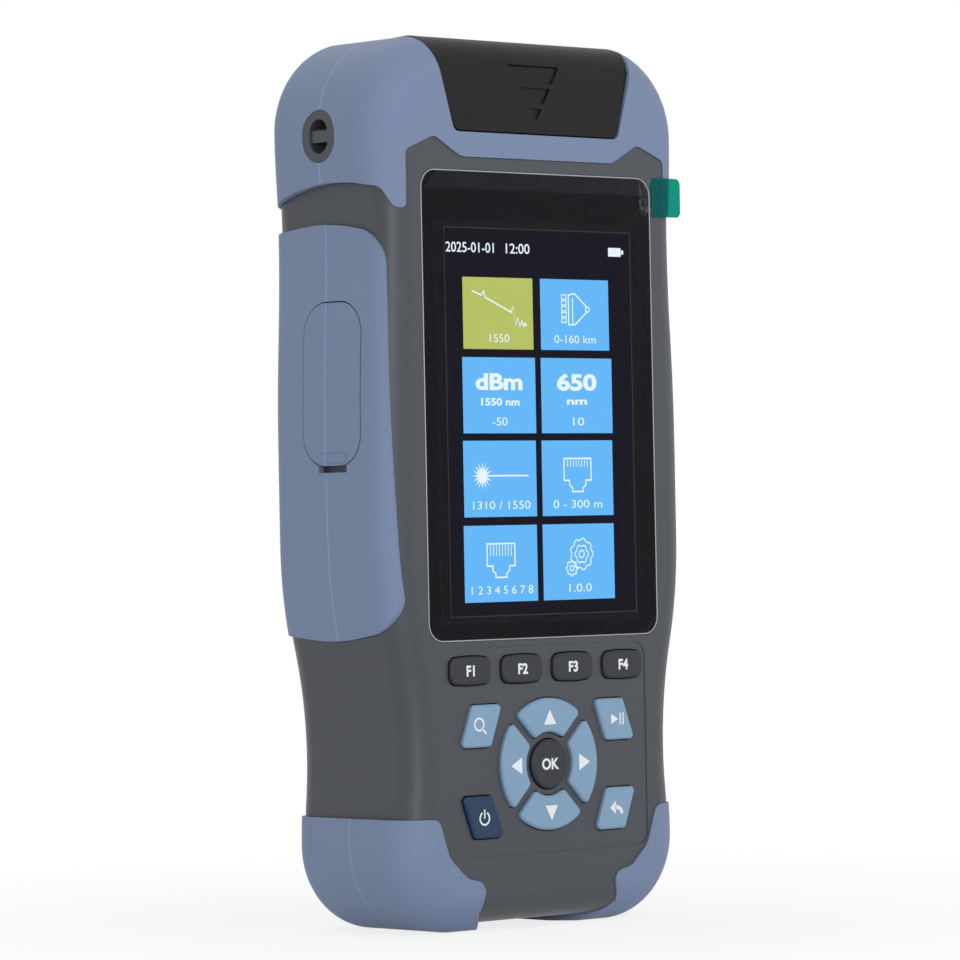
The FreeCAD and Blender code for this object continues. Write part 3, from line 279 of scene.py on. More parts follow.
def seam_highlight_group():
    """Painted highlight along the moulding seam: a fine band, painted paler, along the line where the halves
    meet. With the bend height h and the slope s below it, the mask is one where |y - place - s * min(z - h,
    0)| is under the width."""
    if "seam_highlight_mask" in bpy.data.node_groups:
        return bpy.data.node_groups["seam_highlight_mask"]
    inputs = [(label, "float", 0.0) for label in ("Place", "Bend", "Slope", "Width")]
    group, start, end = new_group("seam_highlight_mask", inputs, [("Mask", "float")])
    link = group.links.new
    place = add(group, "ShaderNodeTexCoord")
    axes = add(group, "ShaderNodeSeparateXYZ")
    link(place.outputs["Object"], axes.inputs[0])
    below = add(group, "ShaderNodeMath", operation="SUBTRACT")
    link(axes.outputs["Z"], below.inputs[0])
    link(start.outputs["Bend"], below.inputs[1])
    capped = add(group, "ShaderNodeMath", {1: 0.0}, operation="MINIMUM")
    link(below.outputs[0], capped.inputs[0])
    line = add(group, "ShaderNodeMath", operation="MULTIPLY_ADD")
    link(capped.outputs[0], line.inputs[0])
    link(start.outputs["Slope"], line.inputs[1])
    link(start.outputs["Place"], line.inputs[2])
    near = add(group, "ShaderNodeMath", operation="SUBTRACT")
    link(axes.outputs["Y"], near.inputs[0])
    link(line.outputs[0], near.inputs[1])
    apart = add(group, "ShaderNodeMath", operation="ABSOLUTE")
    link(near.outputs[0], apart.inputs[0])
    mask = add(group, "ShaderNodeMath", operation="LESS_THAN")
    link(apart.outputs[0], mask.inputs[0])
    link(start.outputs["Width"], mask.inputs[1])
    link(mask.outputs[0], end.inputs["Mask"])
    return group


def principled(name, values):
    """A material with its Principled shader, ready for more nodes."""
    material = bpy.data.materials.new(name)
    material.use_nodes = True
    shader = material.node_tree.nodes["Principled BSDF"]
    for key, value in values.items():
        shader.inputs[key].default_value = value
    return material, material.node_tree, shader


def grained(name, rgb, roughness, scale, bump, drift=0.06, metal=0.0, gloss=0.5):
    """A moulded finish: grain in the surface and a slight drift of tone."""
    values = {"Roughness": roughness, "Metallic": metal, "Specular IOR Level": gloss}
    material, tree, shader = principled(name, values)
    grain = add(tree, "ShaderNodeGroup")
    grain.node_tree = grain_group()
    grain.inputs["Colour"].default_value = (*rgb, 1)
    grain.inputs["Scale"].default_value = scale
    grain.inputs["Drift"].default_value = drift
    relief = add(tree, "ShaderNodeBump", {"Strength": bump, "Distance": 0.0001})
    tree.links.new(grain.outputs["Height"], relief.inputs["Height"])
    tree.links.new(relief.outputs["Normal"], shader.inputs["Normal"])
    tree.links.new(grain.outputs["Colour"], shader.inputs["Base Color"])
    return material


def lit(name, rgb, spread=0.04):
    """A lit part of the screen: black glass that gives off its own colour, a little unevenly."""
    values = {"Base Color": (0.004, 0.004, 0.006, 1), "Roughness": 0.3, "Specular IOR Level": 0.0}
    material, tree, shader = principled(name, values)
    shader.inputs["Emission Strength"].default_value = 1.0
    grain = add(tree, "ShaderNodeGroup")
    grain.node_tree = grain_group()
    grain.inputs["Colour"].default_value = (*rgb, 1)
    grain.inputs["Drift"].default_value = spread
    tree.links.new(grain.outputs["Colour"], shader.inputs["Emission Color"])
    return material


# Colour, roughness, scale and depth of the grain, drift of tone, share of metal
PLAIN = {
    "steel": ((0.55, 0.55, 0.56), 0.35, 900, 0.05, 0.1, 1.0),
    "nickel": ((0.66, 0.65, 0.62), 0.22, 900, 0.03, 0.1, 1.0),
    "can": ((0.7, 0.71, 0.72), 0.5, 900, 0.1, 0.1, 1.0),
    "contact": ((0.62, 0.62, 0.63), 0.25, 900, 0.03, 0.1, 1.0),
    # Black plastic of the network jack, and the painted shade in the screw recesses
    "black_plastic_and_recess_shade": ((0.02, 0.02, 0.022), 0.4, 2500, 0.2, 0.1, 0.0),
    "foam": ((0.02, 0.02, 0.02), 0.95, 5000, 0.8, 0.1, 0.0),
    "panel": ((0.015, 0.015, 0.02), 0.15, 600, 0.02, 0.1, 0.0),
    "silicone": ((0.5, 0.5, 0.48), 0.55, 2500, 0.2, 0.1, 0.0),
    "switch": ((0.03, 0.03, 0.03), 0.5, 2500, 0.2, 0.1, 0.0),
    "laminate": ((0.012, 0.13, 0.05), 0.3, 1500, 0.1, 0.2, 0.0),
    "sleeve": ((0.03, 0.05, 0.2), 0.25, 800, 0.03, 0.2, 0.0),
}


def make_rubber(name):
    """Slate blue rubber, with a painted highlight along its moulding seam: a fine band there is painted
    paler.
    """
    s = settings("tester_finish")
    material = grained(name, s.rubber, 0.66, 3200, 0.8 * s.grain, 0.06)
    tree = material.node_tree
    shader = tree.nodes["Principled BSDF"]
    shader.inputs["Sheen Weight"].default_value = 0.06
    tone = shader.inputs["Base Color"].links[0].from_socket
    seam = add(tree, "ShaderNodeGroup")
    seam.node_tree = seam_highlight_group()
    values = {"Place": seam_place(), "Bend": SEAM_BEND, "Slope": SEAM_SLOPE, "Width": SEAM_HIGHLIGHT_WIDTH}
    for key, value in values.items():
        seam.inputs[key].default_value = value
    # The seam's band is painted paler: a painted highlight along the flash, which is itself real
    mix = add(tree, "ShaderNodeMix", data_type="RGBA")
    tree.links.new(seam.outputs["Mask"], mix.inputs["Factor"])
    tree.links.new(tone, mix.inputs["A"])
    mix.inputs["B"].default_value = (*[min(1.0, 1.5 * c) for c in s.rubber], 1)
    tree.links.new(mix.outputs["Result"], shader.inputs["Base Color"])
    return material


def make_film(name):
    """Clear film: nearly all see-through, with faint streaks that catch the light."""
    values = {"Base Color": (0.9, 0.93, 0.95, 1), "Roughness": 0.2, "Specular IOR Level": 0.05}
    material, tree, shader = principled(name, values)
    place = add(tree, "ShaderNodeTexCoord")
    stretch = add(tree, "ShaderNodeMapping", {"Scale": (300, 300, 40)})
    tree.links.new(place.outputs["Object"], stretch.inputs["Vector"])
    streaks = add(tree, "ShaderNodeTexNoise", {"Scale": 1.0, "Detail": 4.0, "Roughness": 0.7})
    tree.links.new(stretch.outputs["Vector"], streaks.inputs["Vector"])
    span = {"From Min": 0.6, "From Max": 0.9, "To Min": 0.001, "To Max": 0.02}
    veil = add(tree, "ShaderNodeMapRange", span)
    tree.links.new(streaks.outputs["Fac"], veil.inputs["Value"])
    tree.links.new(veil.outputs["Result"], shader.inputs["Alpha"])
    return material


def make_tab(name):
    """See-through green tab whose end on the film is clear and smudged."""
    s = settings("tester_finish")
    material, tree, shader = principled(name, {"Roughness": 0.35, "Specular IOR Level": 0.05})
    link = tree.links.new
    place = add(tree, "ShaderNodeTexCoord")
    axes = add(tree, "ShaderNodeSeparateXYZ")
    link(place.outputs["Object"], axes.inputs[0])
    green = add(tree, "ShaderNodeMath", {1: WINDOW_HIGH.x + 0.3 * MM}, operation="GREATER_THAN")
    link(axes.outputs["X"], green.inputs[0])
    smudge = add(tree, "ShaderNodeTexNoise", {"Scale": 700.0, "Detail": 5.0, "Roughness": 0.75})
    link(place.outputs["Object"], smudge.inputs["Vector"])
    faint = add(tree, "ShaderNodeMapRange", {"From Min": 0.5, "From Max": 0.8, "To Min": 0.01, "To Max": 0.3})
    link(smudge.outputs["Fac"], faint.inputs["Value"])
    alpha = add(tree, "ShaderNodeMath", operation="MAXIMUM")
    link(green.outputs[0], alpha.inputs[0])
    link(faint.outputs["Result"], alpha.inputs[1])
    link(alpha.outputs[0], shader.inputs["Alpha"])
    shade = add(tree, "ShaderNodeMix", data_type="RGBA")
    link(green.outputs[0], shade.inputs["Factor"])
    shade.inputs["A"].default_value = (0.5, 0.52, 0.55, 1)
    shade.inputs["B"].default_value = (*s.tab, 1)
    link(shade.outputs["Result"], shader.inputs["Base Color"])
    tint = add(tree, "ShaderNodeMix", data_type="RGBA")
    link(green.outputs[0], tint.inputs["Factor"])
    tint.inputs["A"].default_value = (0, 0, 0, 1)
    tint.inputs["B"].default_value = (*s.tab_through, 1)
    through = add(tree, "ShaderNodeBsdfTransparent")
    link(tint.outputs["Result"], through.inputs["Color"])
    both = add(tree, "ShaderNodeAddShader")
    link(shader.outputs[0], both.inputs[0])
    link(through.outputs[0], both.inputs[1])
    link(both.outputs[0], tree.nodes["Material Output"].inputs["Surface"])
    return material


def white_rays(tree):
    """One for the rays that meet the white backdrop: straight, mirrored and passed through."""
    path = add(tree, "ShaderNodeLightPath")
    total = path.outputs["Is Camera Ray"]
    for ray in ("Is Glossy Ray", "Is Transmission Ray"):
        larger = add(tree, "ShaderNodeMath", operation="MAXIMUM")
        tree.links.new(total, larger.inputs[0])
        tree.links.new(path.outputs[ray], larger.inputs[1])
        total = larger.outputs[0]
    return total


def make_floor(name):
    """White paper floor: lit as any surface near the part, and plain white further out."""
    s = settings("tester_stage")
    material, tree, shader = principled(name, {"Roughness": 1.0, "Specular IOR Level": 0.0})
    shader.inputs["Base Color"].default_value = (*s.floor, 1)
    link = tree.links.new
    place = add(tree, "ShaderNodeTexCoord")
    reach = add(tree, "ShaderNodeVectorMath", operation="LENGTH")
    link(place.outputs["Object"], reach.inputs[0])
    fade = add(tree, "ShaderNodeMapRange", {"From Min": 0.05, "From Max": 0.22, "To Min": 0.8, "To Max": 1.0})
    link(reach.outputs["Value"], fade.inputs["Value"])
    share_white = add(tree, "ShaderNodeMath", operation="MULTIPLY")
    link(fade.outputs["Result"], share_white.inputs[0])
    link(white_rays(tree), share_white.inputs[1])
    white = add(tree, "ShaderNodeEmission", {"Color": (1, 1, 1, 1), "Strength": 1.0})
    mix = add(tree, "ShaderNodeMixShader")
    link(share_white.outputs[0], mix.inputs[0])
    link(shader.outputs[0], mix.inputs[1])
    link(white.outputs[0], mix.inputs[2])
    link(mix.outputs[0], tree.nodes["Material Output"].inputs["Surface"])
    return material


def finish(name):
    """The finish of that name, made the first time it is asked for."""
    label = "finish_" + name
    if label in bpy.data.materials:
        return bpy.data.materials[label]
    if name in PLAIN:
        return grained(label, *PLAIN[name])
    s = settings("tester_finish")
    screen = settings("tester_screen")
    made = {
        "housing": (grained, s.housing, 0.42, 2600, s.grain, 0.06, 0.0, 0.45),
        "rubber": (make_rubber,),
        "cover": (grained, s.cover, 0.45, 3000, s.grain, 0.1, 0.0, 0.16),
        "border": (grained, s.border, 0.12, 500, 0.01, 0.3, 0.0, 0.1),
        "window_edge_highlight": (grained, s.bevel, 0.3, 900, 0.05, 0.5),
        "key_dark": (grained, s.key_dark, 0.5, 4000, 0.15, 0.1, 0.0, 0.3),
        "key_blue": (grained, s.key_blue, 0.5, 4000, 0.12, 0.06, 0.0, 0.3),
        "key_navy": (grained, s.key_navy, 0.45, 4000, 0.12, 0.1, 0.0, 0.3),
        "legend": (grained, s.legend, 0.45, 3000, 0.05, 0.04),
        "film": (make_film,),
        "tab": (make_tab,),
        "floor": (make_floor,),
        "screen_ground": (lit, screen.ground, 0.2),
        "screen_rim": (lit, screen.rim, 0.3),
        "screen_tile": (lit, screen.tile, 0.04),
        "screen_chosen": (lit, screen.chosen, 0.04),
        "screen_mark": (lit, screen.mark, 0.04),
    }
    make, *values = made[name]
    return make(label, *values)


# ---------------------------------------------------------------- meshes
def points_of(mesh):
    """The places of a mesh's points as rows of an array."""
    flat = np.zeros(3 * len(mesh.vertices))
    mesh.vertices.foreach_get("co", flat)
    return flat.reshape(-1, 3)


def new_piece(name, points, faces, material, body, slot=None, smooth=False):
    """A mesh object from its points and faces, which rides a body."""
    mesh = bpy.data.meshes.new(name)
    mesh.from_pydata(points.tolist(), [], faces)
    if smooth:
        mesh.shade_smooth()
    mesh.materials.append(material)
    obj = bpy.data.objects.new(name, mesh)
    bpy.context.scene.collection.objects.link(obj)
    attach(obj, body)
    return obj


# ---------------------------------------------------------------- flat drawings
class Drawing:
    """A flat drawing on an upright plane that faces the reader, gathered as points and faces."""

    def __init__(self):
        self.points = np.zeros((0, 2))
        self.faces = []

    def take(self, points, faces):
        """Adds points and faces that count from the first of these points."""
        start = len(self.points)
        self.points = np.vstack([self.points, np.asarray(points, float)])
        self.faces += [tuple(start + i for i in face) for face in faces]

    def area(self, points):
        """A filled outline, listed anticlockwise."""
        self.take(points, [tuple(range(len(points)))])

    def line(self, points, width, closed=False):
        """A line of even width. At each point the two edges lie at plus and minus half the width
        along the mitre, the sum of the neighbouring unit normals over one plus their product."""
        p = np.asarray(points, float)
        ahead = np.roll(p, -1, axis=0) - p
        if not closed:
            ahead[-1] = ahead[-2]
        ahead /= np.linalg.norm(ahead, axis=1)[:, None]
        normal = np.column_stack([-ahead[:, 1], ahead[:, 0]])
        before = np.roll(normal, 1, axis=0)
        if not closed:
            before[0] = normal[0]
        product = np.maximum((normal * before).sum(axis=1), -0.5)
        mitre = (normal + before) / (1 + product)[:, None] * width / 2
        n = len(p)
        count = n if closed else n - 1
        i = np.arange(count)
        after = (i + 1) % n
        faces = np.column_stack([i, after, n + after, n + i]).tolist()
        self.take(np.vstack([p - mitre, p + mitre]), faces)

    def ring(self, x, z, radius, width, start=0.0, sweep=360.0, wave=0.0, waves=8, steps=48):
        """An arc or circle drawn as a line. At angle a its radius is radius * (1 + wave *
        tanh(4 cos(waves * a))), which gives a wheel its teeth."""
        angle = np.radians(start + sweep * np.arange(steps + (sweep < 360)) / steps)
        r = radius * (1 + wave * np.tanh(4 * np.cos(waves * angle)))
        path = np.column_stack([x + r * np.cos(angle), z + r * np.sin(angle)])
        self.line(path, width, sweep >= 360)

    def words(self, text, size, x, z, bold=0.0, width=None, align="CENTER"):
        """Figures as flat faces, centred on a point or starting at it, and drawn out to a width
        where one is given."""
        curve = bpy.data.curves.new("words", "FONT")
        curve.body = text
        curve.size = size
        curve.offset = bold
        curve.align_x = align
        curve.resolution_u = 4
        holder = bpy.data.objects.new("words", curve)
        mesh = bpy.data.meshes.new_from_object(holder)
        flat = points_of(mesh)[:, :2]
        low, high = flat.min(axis=0), flat.max(axis=0)
        if width:
            flat = flat * (width / (high[0] - low[0]), 1)
        faces = [tuple(face.vertices) for face in mesh.polygons]
        self.take(flat + (x, z - (low[1] + high[1]) / 2), faces)
        bpy.data.objects.remove(holder)
        bpy.data.curves.remove(curve)
        bpy.data.meshes.remove(mesh)

    def piece(self, name, y, material, body="housing", slot=None):
        """The drawing as an object on the plane at y."""
        depth = np.full(len(self.points), y)
        points = np.column_stack([self.points[:, 0], depth, self.points[:, 1]])
        return new_piece(name, points, self.faces, material, body, slot)


def oblong(x0, x1, z0, z1):
    """The four corners of an upright rectangle, anticlockwise."""
    return [(x0, z0), (x1, z0), (x1, z1), (x0, z1)]


def rounded_path(x, z, width, height, radius, steps=8):
    """A rectangle with round corners, as points: each corner is r * (cos a, sin a) from its own
    centre, with a running over a quarter turn."""
    quarter = np.radians(np.linspace(0, 90, steps))
    points = []
    for turn, sx, sz in ((0, 1, 1), (90, -1, 1), (180, -1, -1), (270, 1, -1)):
        a = quarter + math.radians(turn)
        cx = x + sx * (width / 2 - radius)
        cz = z + sz * (height / 2 - radius)
        points.append(np.column_stack([cx + radius * np.cos(a), cz + radius * np.sin(a)]))
    return np.vstack(points)


def carried(name, path, radius, y, material, body):
    """A thin bead: a half-round profile carried along a closed path on an upright plane. At angle
    b it lies radius * cos b outwards in the plane and radius * sin b in front of it."""
    p = np.asarray(path, float)
    ahead = np.roll(p, -1, axis=0) - np.roll(p, 1, axis=0)
    ahead /= np.linalg.norm(ahead, axis=1)[:, None]
    out = np.column_stack([ahead[:, 1], -ahead[:, 0]])
    b = np.radians(np.linspace(0, 180, 7))
    flat = p[:, None, :] + radius * np.cos(b)[None, :, None] * out[:, None, :]
    depth = np.broadcast_to(y - radius * np.sin(b), flat.shape[:2])
    points = np.stack([flat[..., 0], depth, flat[..., 1]], axis=-1).reshape(-1, 3)
    n, m = flat.shape[:2]
    i = np.arange(n)[:, None]
    j = np.arange(m - 1)[None, :]
    after = (i + 1) % n
    faces = np.stack([i * m + j, after * m + j, after * m + j + 1, i * m + j + 1], axis=-1)
    return new_piece(name, points, faces.reshape(-1, 4).tolist(), material, body, smooth=True)


# ---------------------------------------------------------------- pieces
def merged_copy(node):
    """A CAD node's mesh with its doubles merged and its sharp edges marked."""
    mesh = NODES[node].data.copy()
    work = bmesh.new()
    work.from_mesh(mesh)
    bmesh.ops.remove_doubles(work, verts=work.verts, dist=1e-6)
    for edge in work.edges:
        if len(edge.link_faces) == 2:
            edge.smooth = edge.calc_face_angle() < SHARP_TURN
    for face in work.faces:
        face.smooth = True
    work.to_mesh(mesh)
    work.free()
    return mesh


def dressed(node, material, name=None, bevel=0.0):
    """A smooth-shaded copy of a CAD node in a finish, which stands for the node."""
    obj = bpy.data.objects.new(name or node + "_skin", merged_copy(node))
    bpy.context.scene.collection.objects.link(obj)
    obj.data.materials.clear()
    obj.data.materials.append(material)
    if bevel:
        edge = obj.modifiers.new("edge", "BEVEL")
        edge.width = bevel
        edge.segments = 2
        edge.limit_method = "ANGLE"
        edge.angle_limit = math.radians(35)
        edge.harden_normals = False
    weigh = obj.modifiers.new("shading", "WEIGHTED_NORMAL")
    weigh.keep_sharp = True
    weigh.weight = 80
    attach(obj, BODY_OF[node])
    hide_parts(node)
    return obj


def seam_place():
    """Depth of the seam above its bend, half-way between the two halves of the top bumper."""
    return (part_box("top_bumper_front")[1].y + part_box("top_bumper_rear")[0].y) / 2


def seam_band(node):
    """The fine flash that fills the seam behind a front half of rubber: the outline of the half's
    parting face, carried back over the seam. The face lies at y = place - gap / 2 + slope *
    min(z - bend, 0), and its outline is the edges that only one of its triangles has."""
    mesh = merged_copy(node)
    points = points_of(mesh)
    corners = np.zeros(len(mesh.loops), np.int32)
    mesh.loops.foreach_get("vertex_index", corners)
    bpy.data.meshes.remove(mesh)
    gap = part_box("top_bumper_rear")[0].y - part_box("top_bumper_front")[1].y
    level = seam_place() - gap / 2 + SEAM_SLOPE * np.minimum(points[:, 2] - SEAM_BEND, 0)
    on = np.abs(points[:, 1] - level) < 0.03 * MM
    triangles = corners.reshape(-1, 3)
    face = triangles[on[triangles].all(axis=1)]
    edges = np.vstack([face[:, [0, 1]], face[:, [1, 2]], face[:, [2, 0]]])
    _, first, count = np.unique(np.sort(edges, axis=1), axis=0, return_index=True, return_counts=True)
    front = points[edges[first[count == 1]]]
    back = front + (0, gap, 0)
    quads = np.stack([front[:, 0], front[:, 1], back[:, 1], back[:, 0]], axis=1).reshape(-1, 3)
    faces = np.arange(len(quads)).reshape(-1, 4).tolist()
    return new_piece("seam_" + node, quads, faces, finish("rubber"), BODY_OF[node], MARK_SLOT[node])


class TESTER_OT_housing(bpy.types.Operator):
    """Makes the two half shells, the port panel and the battery door."""

    bl_idname = "tester.housing"
    bl_label = "Housing"

    def execute(self, context):
        for node in ("front_shell", "rear_shell", "battery_door", "port_panel"):
            dressed(node, finish("housing"))
        return {"FINISHED"}


class TESTER_OT_rubber(bpy.types.Operator):
    """Makes the bumpers, grips and the side flap, with the flash in their seams."""

    bl_idname = "tester.rubber"
    bl_label = "Rubber"

    def execute(self, context):
        for node in RUBBER_NODES:
            dressed(node, finish("rubber"), bevel=RUBBER_BEVEL)
            if node.endswith("_front"):
                seam_band(node)
        return {"FINISHED"}


class TESTER_OT_insides(bpy.types.Operator):
    """Makes the board, module, battery, sockets, ports and screws."""

    bl_idname = "tester.insides"
    bl_label = "Inner pieces"

    def execute(self, context):
        for node, name in INSIDES.items():
            dressed(node, finish(name))
        return {"FINISHED"}


class TESTER_OT_screw_heads(bpy.types.Operator):
    """Paints the shade of the cross recesses in the heads of the case screws and the battery door's screws,
    as flat black crosses.
    """

    bl_idname = "tester.screw_heads"
    bl_label = "Screw recesses"

    def execute(self, context):
        for node, reach in (("case_screws", 1.5), ("battery_door_screws", 1.2)):
            out = Drawing()
            for x, z in self.heads(node):
                for w, h in ((reach, 0.3), (0.3, reach)):
                    out.area(oblong(x - w * MM, x + w * MM, z - h * MM, z + h * MM))
            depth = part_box(node)[1].y + PRINT_AND_SHADE_LIFT
            # Flat black crosses on the heads: painted shade where the cross recesses are
            out.piece("painted_recess_shade_" + node, depth, finish("black_plastic_and_recess_shade"), slot="steel")
        return {"FINISHED"}

    def heads(self, node):
        """Middles of the heads: the hindmost points of the node, gathered by quadrant."""
        points = points_of(NODES[node].data)
        back = points[points[:, 1] > points[:, 1].max() - 0.05 * MM]
        middle_z = (back[:, 2].min() + back[:, 2].max()) / 2
        split = back[:, 2].max() - back[:, 2].min() > 20 * MM
        upper = (back[:, 2] > middle_z) & split
        for right in (False, True):
            for high in (False, True) if split else (False,):
                near = back[((back[:, 0] > 0) == right) & (upper == high)]
                low, top = near.min(axis=0), near.max(axis=0)
                yield (low[0] + top[0]) / 2, (low[2] + top[2]) / 2


class TESTER_OT_window(bpy.types.Operator):
    """Makes the window with its black border, a painted highlight along its edge, the film and the film's
    tab.
    """

    bl_idname = "tester.window"
    bl_label = "Window"

    def execute(self, context):
        dressed("screen_window", finish("border"))
        size = WINDOW_HIGH - WINDOW_LOW
        middle = (WINDOW_HIGH + WINDOW_LOW) / 2
        inset = 0.15 * MM
        corner = 3.4 * MM
        path = rounded_path(middle.x, middle.z, size.x - 2 * inset, size.z - 2 * inset, corner)
        # A light grey bead round the glass: a painted highlight along the window's edge
        bead = carried("window_edge_highlight", path, 0.11 * MM, GLASS_Y, finish("window_edge_highlight"), "housing")
        film = dressed("screen_film", finish("film"))
        film.visible_shadow = False
        dressed("film_pull_tab", finish("tab"))
        return {"FINISHED"}


class TESTER_OT_screen(bpy.types.Operator):
    """Makes the lit screen: its ground, eight menu tiles, their pictures and the status line."""

    bl_idname = "tester.screen"
    bl_label = "Screen"

    def execute(self, context):
        s = settings("tester_screen")
        w, h = s.width / 2, s.height / 2
        edge = oblong(-w, w, s.centre_z - h, s.centre_z + h)
        ground, rim, blue, olive, marks = (Drawing() for _ in range(5))
        ground.area(edge)
        rim.line(edge, 0.16 * MM, True)
        pictures = [
            self.trace, self.splitter, self.level, self.light, self.beam, self.socket, self.pairs, self.gears
        ]
        for index, picture in enumerate(pictures):
            drop, height, left, width, gap = np.array(TILE_ROWS[index // 2]) * MM
            left += (width + gap) * (index % 2)
            top = s.centre_z + s.first_top - drop
            (olive if index == 0 else blue).area(oblong(left, left + width, top - height, top))
            size = np.array([width, -height])

            def at(u, v, corner=(left, top), size=size):
                return corner + np.array([u, v]) * size

            picture(marks, s.line, at)
            caption, wide = CAPTIONS[index]
            marks.words(caption, 2.2 * MM, *at(0.5, 0.845), width=wide * MM)
        line_z = s.centre_z + 33.0 * MM
        marks.words("2025-01-01", 2.7 * MM, 0.3 * MM - w, line_z, 0.02 * MM, 12.4 * MM, "LEFT")
        marks.words("12:00", 2.7 * MM, 15.3 * MM - w, line_z, 0.02 * MM, 6.2 * MM, "LEFT")
        x, z = 20.4 * MM, s.centre_z + 32.9 * MM
        marks.area(oblong(x - 1.8 * MM, x + 1.6 * MM, z - 0.85 * MM, z + 0.85 * MM))
        marks.area(oblong(x + 1.7 * MM, x + 2.3 * MM, z - 0.4 * MM, z + 0.4 * MM))
        layers = [
            (ground, "screen_ground", 0.01, "screen_ground"),
            (rim, "screen_rim", 0.018, "screen_rim"),
            (blue, "menu_tiles", 0.026, "screen_tile"),
            (olive, "menu_tile_chosen", 0.026, "screen_chosen"),
            (marks, "screen_marks", 0.034, "screen_mark"),
        ]
        for drawing, name, lift, look in layers:
            drawing.piece(name, GLASS_Y - lift * MM, finish(look), slot="display")
        return {"FINISHED"}

    def trace(self, out, width, at):
        """A falling line with two spikes and a noisy end."""
        spots = [
            (0.13, 0.19), (0.27, 0.25), (0.3, 0.19), (0.32, 0.28), (0.69, 0.48), (0.715, 0.39), (0.75, 0.66),
            (0.78, 0.56), (0.81, 0.68), (0.84, 0.6), (0.86, 0.67), (0.89, 0.63), (0.9, 0.68),
        ]
        out.line([at(*spot) for spot in spots], width)

    def splitter(self, out, width, at):
        """A row of channels that joins into one."""
        for v in np.linspace(0.25, 0.58, 5):
            box = [at(0.31, v - 0.03), at(0.375, v - 0.03), at(0.375, v + 0.03), at(0.31, v + 0.03)]
            out.line(box, width * 0.7, True)
        body = [(0.41, 0.22), (0.41, 0.64), (0.5, 0.64), (0.665, 0.47), (0.665, 0.37), (0.5, 0.2)]
        out.line([at(*spot) for spot in body], width, True)
        out.line([at(0.47, 0.26), at(0.47, 0.64)], width * 0.8)
        out.ring(*at(0.69, 0.42), 0.5 * MM, width * 0.8, steps=16)

    def level(self, out, width, at):
        """A unit of optical power."""
        out.words("dBm", 4.2 * MM, *at(0.5, 0.32), 0.16 * MM, 12.2 * MM)
        out.words("1550 nm", 1.9 * MM, *at(0.5, 0.585), 0.06 * MM, 10.0 * MM)

    def light(self, out, width, at):
        """A wavelength of visible light."""
        out.words("650", 4.2 * MM, *at(0.5, 0.32), 0.16 * MM, 10.6 * MM)
        out.words("nm", 1.9 * MM, *at(0.5, 0.585), 0.06 * MM, 5.4 * MM)

    def beam(self, out, width, at):
        """A burst with a ray to the right: 16 points, with every other corner at a shorter radius."""
        x, z = at(0.255, 0.46)
        step = np.arange(32)
        angle = np.radians(step * 11.25)
        r = np.where(step % 2, 1.15, 2.65) * MM
        out.area(np.column_stack([x + r * np.cos(angle), z + r * np.sin(angle)]))
        out.line([(x, z), at(0.89, 0.46)], width)

    def jack_picture(self, out, width, at, pins_to):
        """A modular socket seen from its mouth, with its contacts."""
        half = [(0.19, 0.24), (0.19, 0.53), (0.115, 0.53), (0.115, 0.59), (0.075, 0.63), (0.075, 0.68)]
        outline = [(0.5 + u, v) for u, v in half] + [(0.5 - u, v) for u, v in reversed(half)]
        out.line([at(*spot) for spot in outline], width, True)
        for u in np.linspace(0.36, 0.64, 8):
            out.line([at(u, 0.26), at(u, pins_to)], width * 0.6)

    def socket(self, out, width, at):
        """The socket with short contacts."""
        self.jack_picture(out, width, at, 0.35)

    def pairs(self, out, width, at):
        """The socket with long contacts."""
        self.jack_picture(out, width, at, 0.4)

    def gears(self, out, width, at):
        """A large wheel and a small one."""
        out.ring(*at(0.54, 0.4), 2.85 * MM, width * 0.8, wave=0.06, waves=9, steps=108)
        out.ring(*at(0.54, 0.4), 1.65 * MM, width * 0.8, wave=0.08, waves=6, steps=72)
        out.ring(*at(0.54, 0.4), 0.7 * MM, width * 0.8, steps=24)
        out.ring(*at(0.4, 0.585), 1.35 * MM, width * 0.8, wave=0.1, waves=8, steps=96)
        out.ring(*at(0.4, 0.585), 0.5 * MM, width * 0.8, steps=24)


class TESTER_OT_cover(bpy.types.Operator):
    """Makes the cover over the ports and its pin."""

    bl_idname = "tester.cover"
    bl_label = "Port cover"

    def execute(self, context):
        dressed("port_cover", finish("cover"))
        dressed("cover_hinge_pin", finish("steel"))
        return {"FINISHED"}


class TESTER_OT_keys(bpy.types.Operator):
    """Makes the thirteen key caps."""

    bl_idname = "tester.keys"
    bl_label = "Keys"

    def execute(self, context):
        for node in KEYS:
            look = "key_dark" if node in SOFT_KEYS or node == "key_ok" else "key_blue"
            dressed(node, finish("key_navy" if node == "key_power" else look), bevel=KEY_BEVEL)
        return {"FINISHED"}


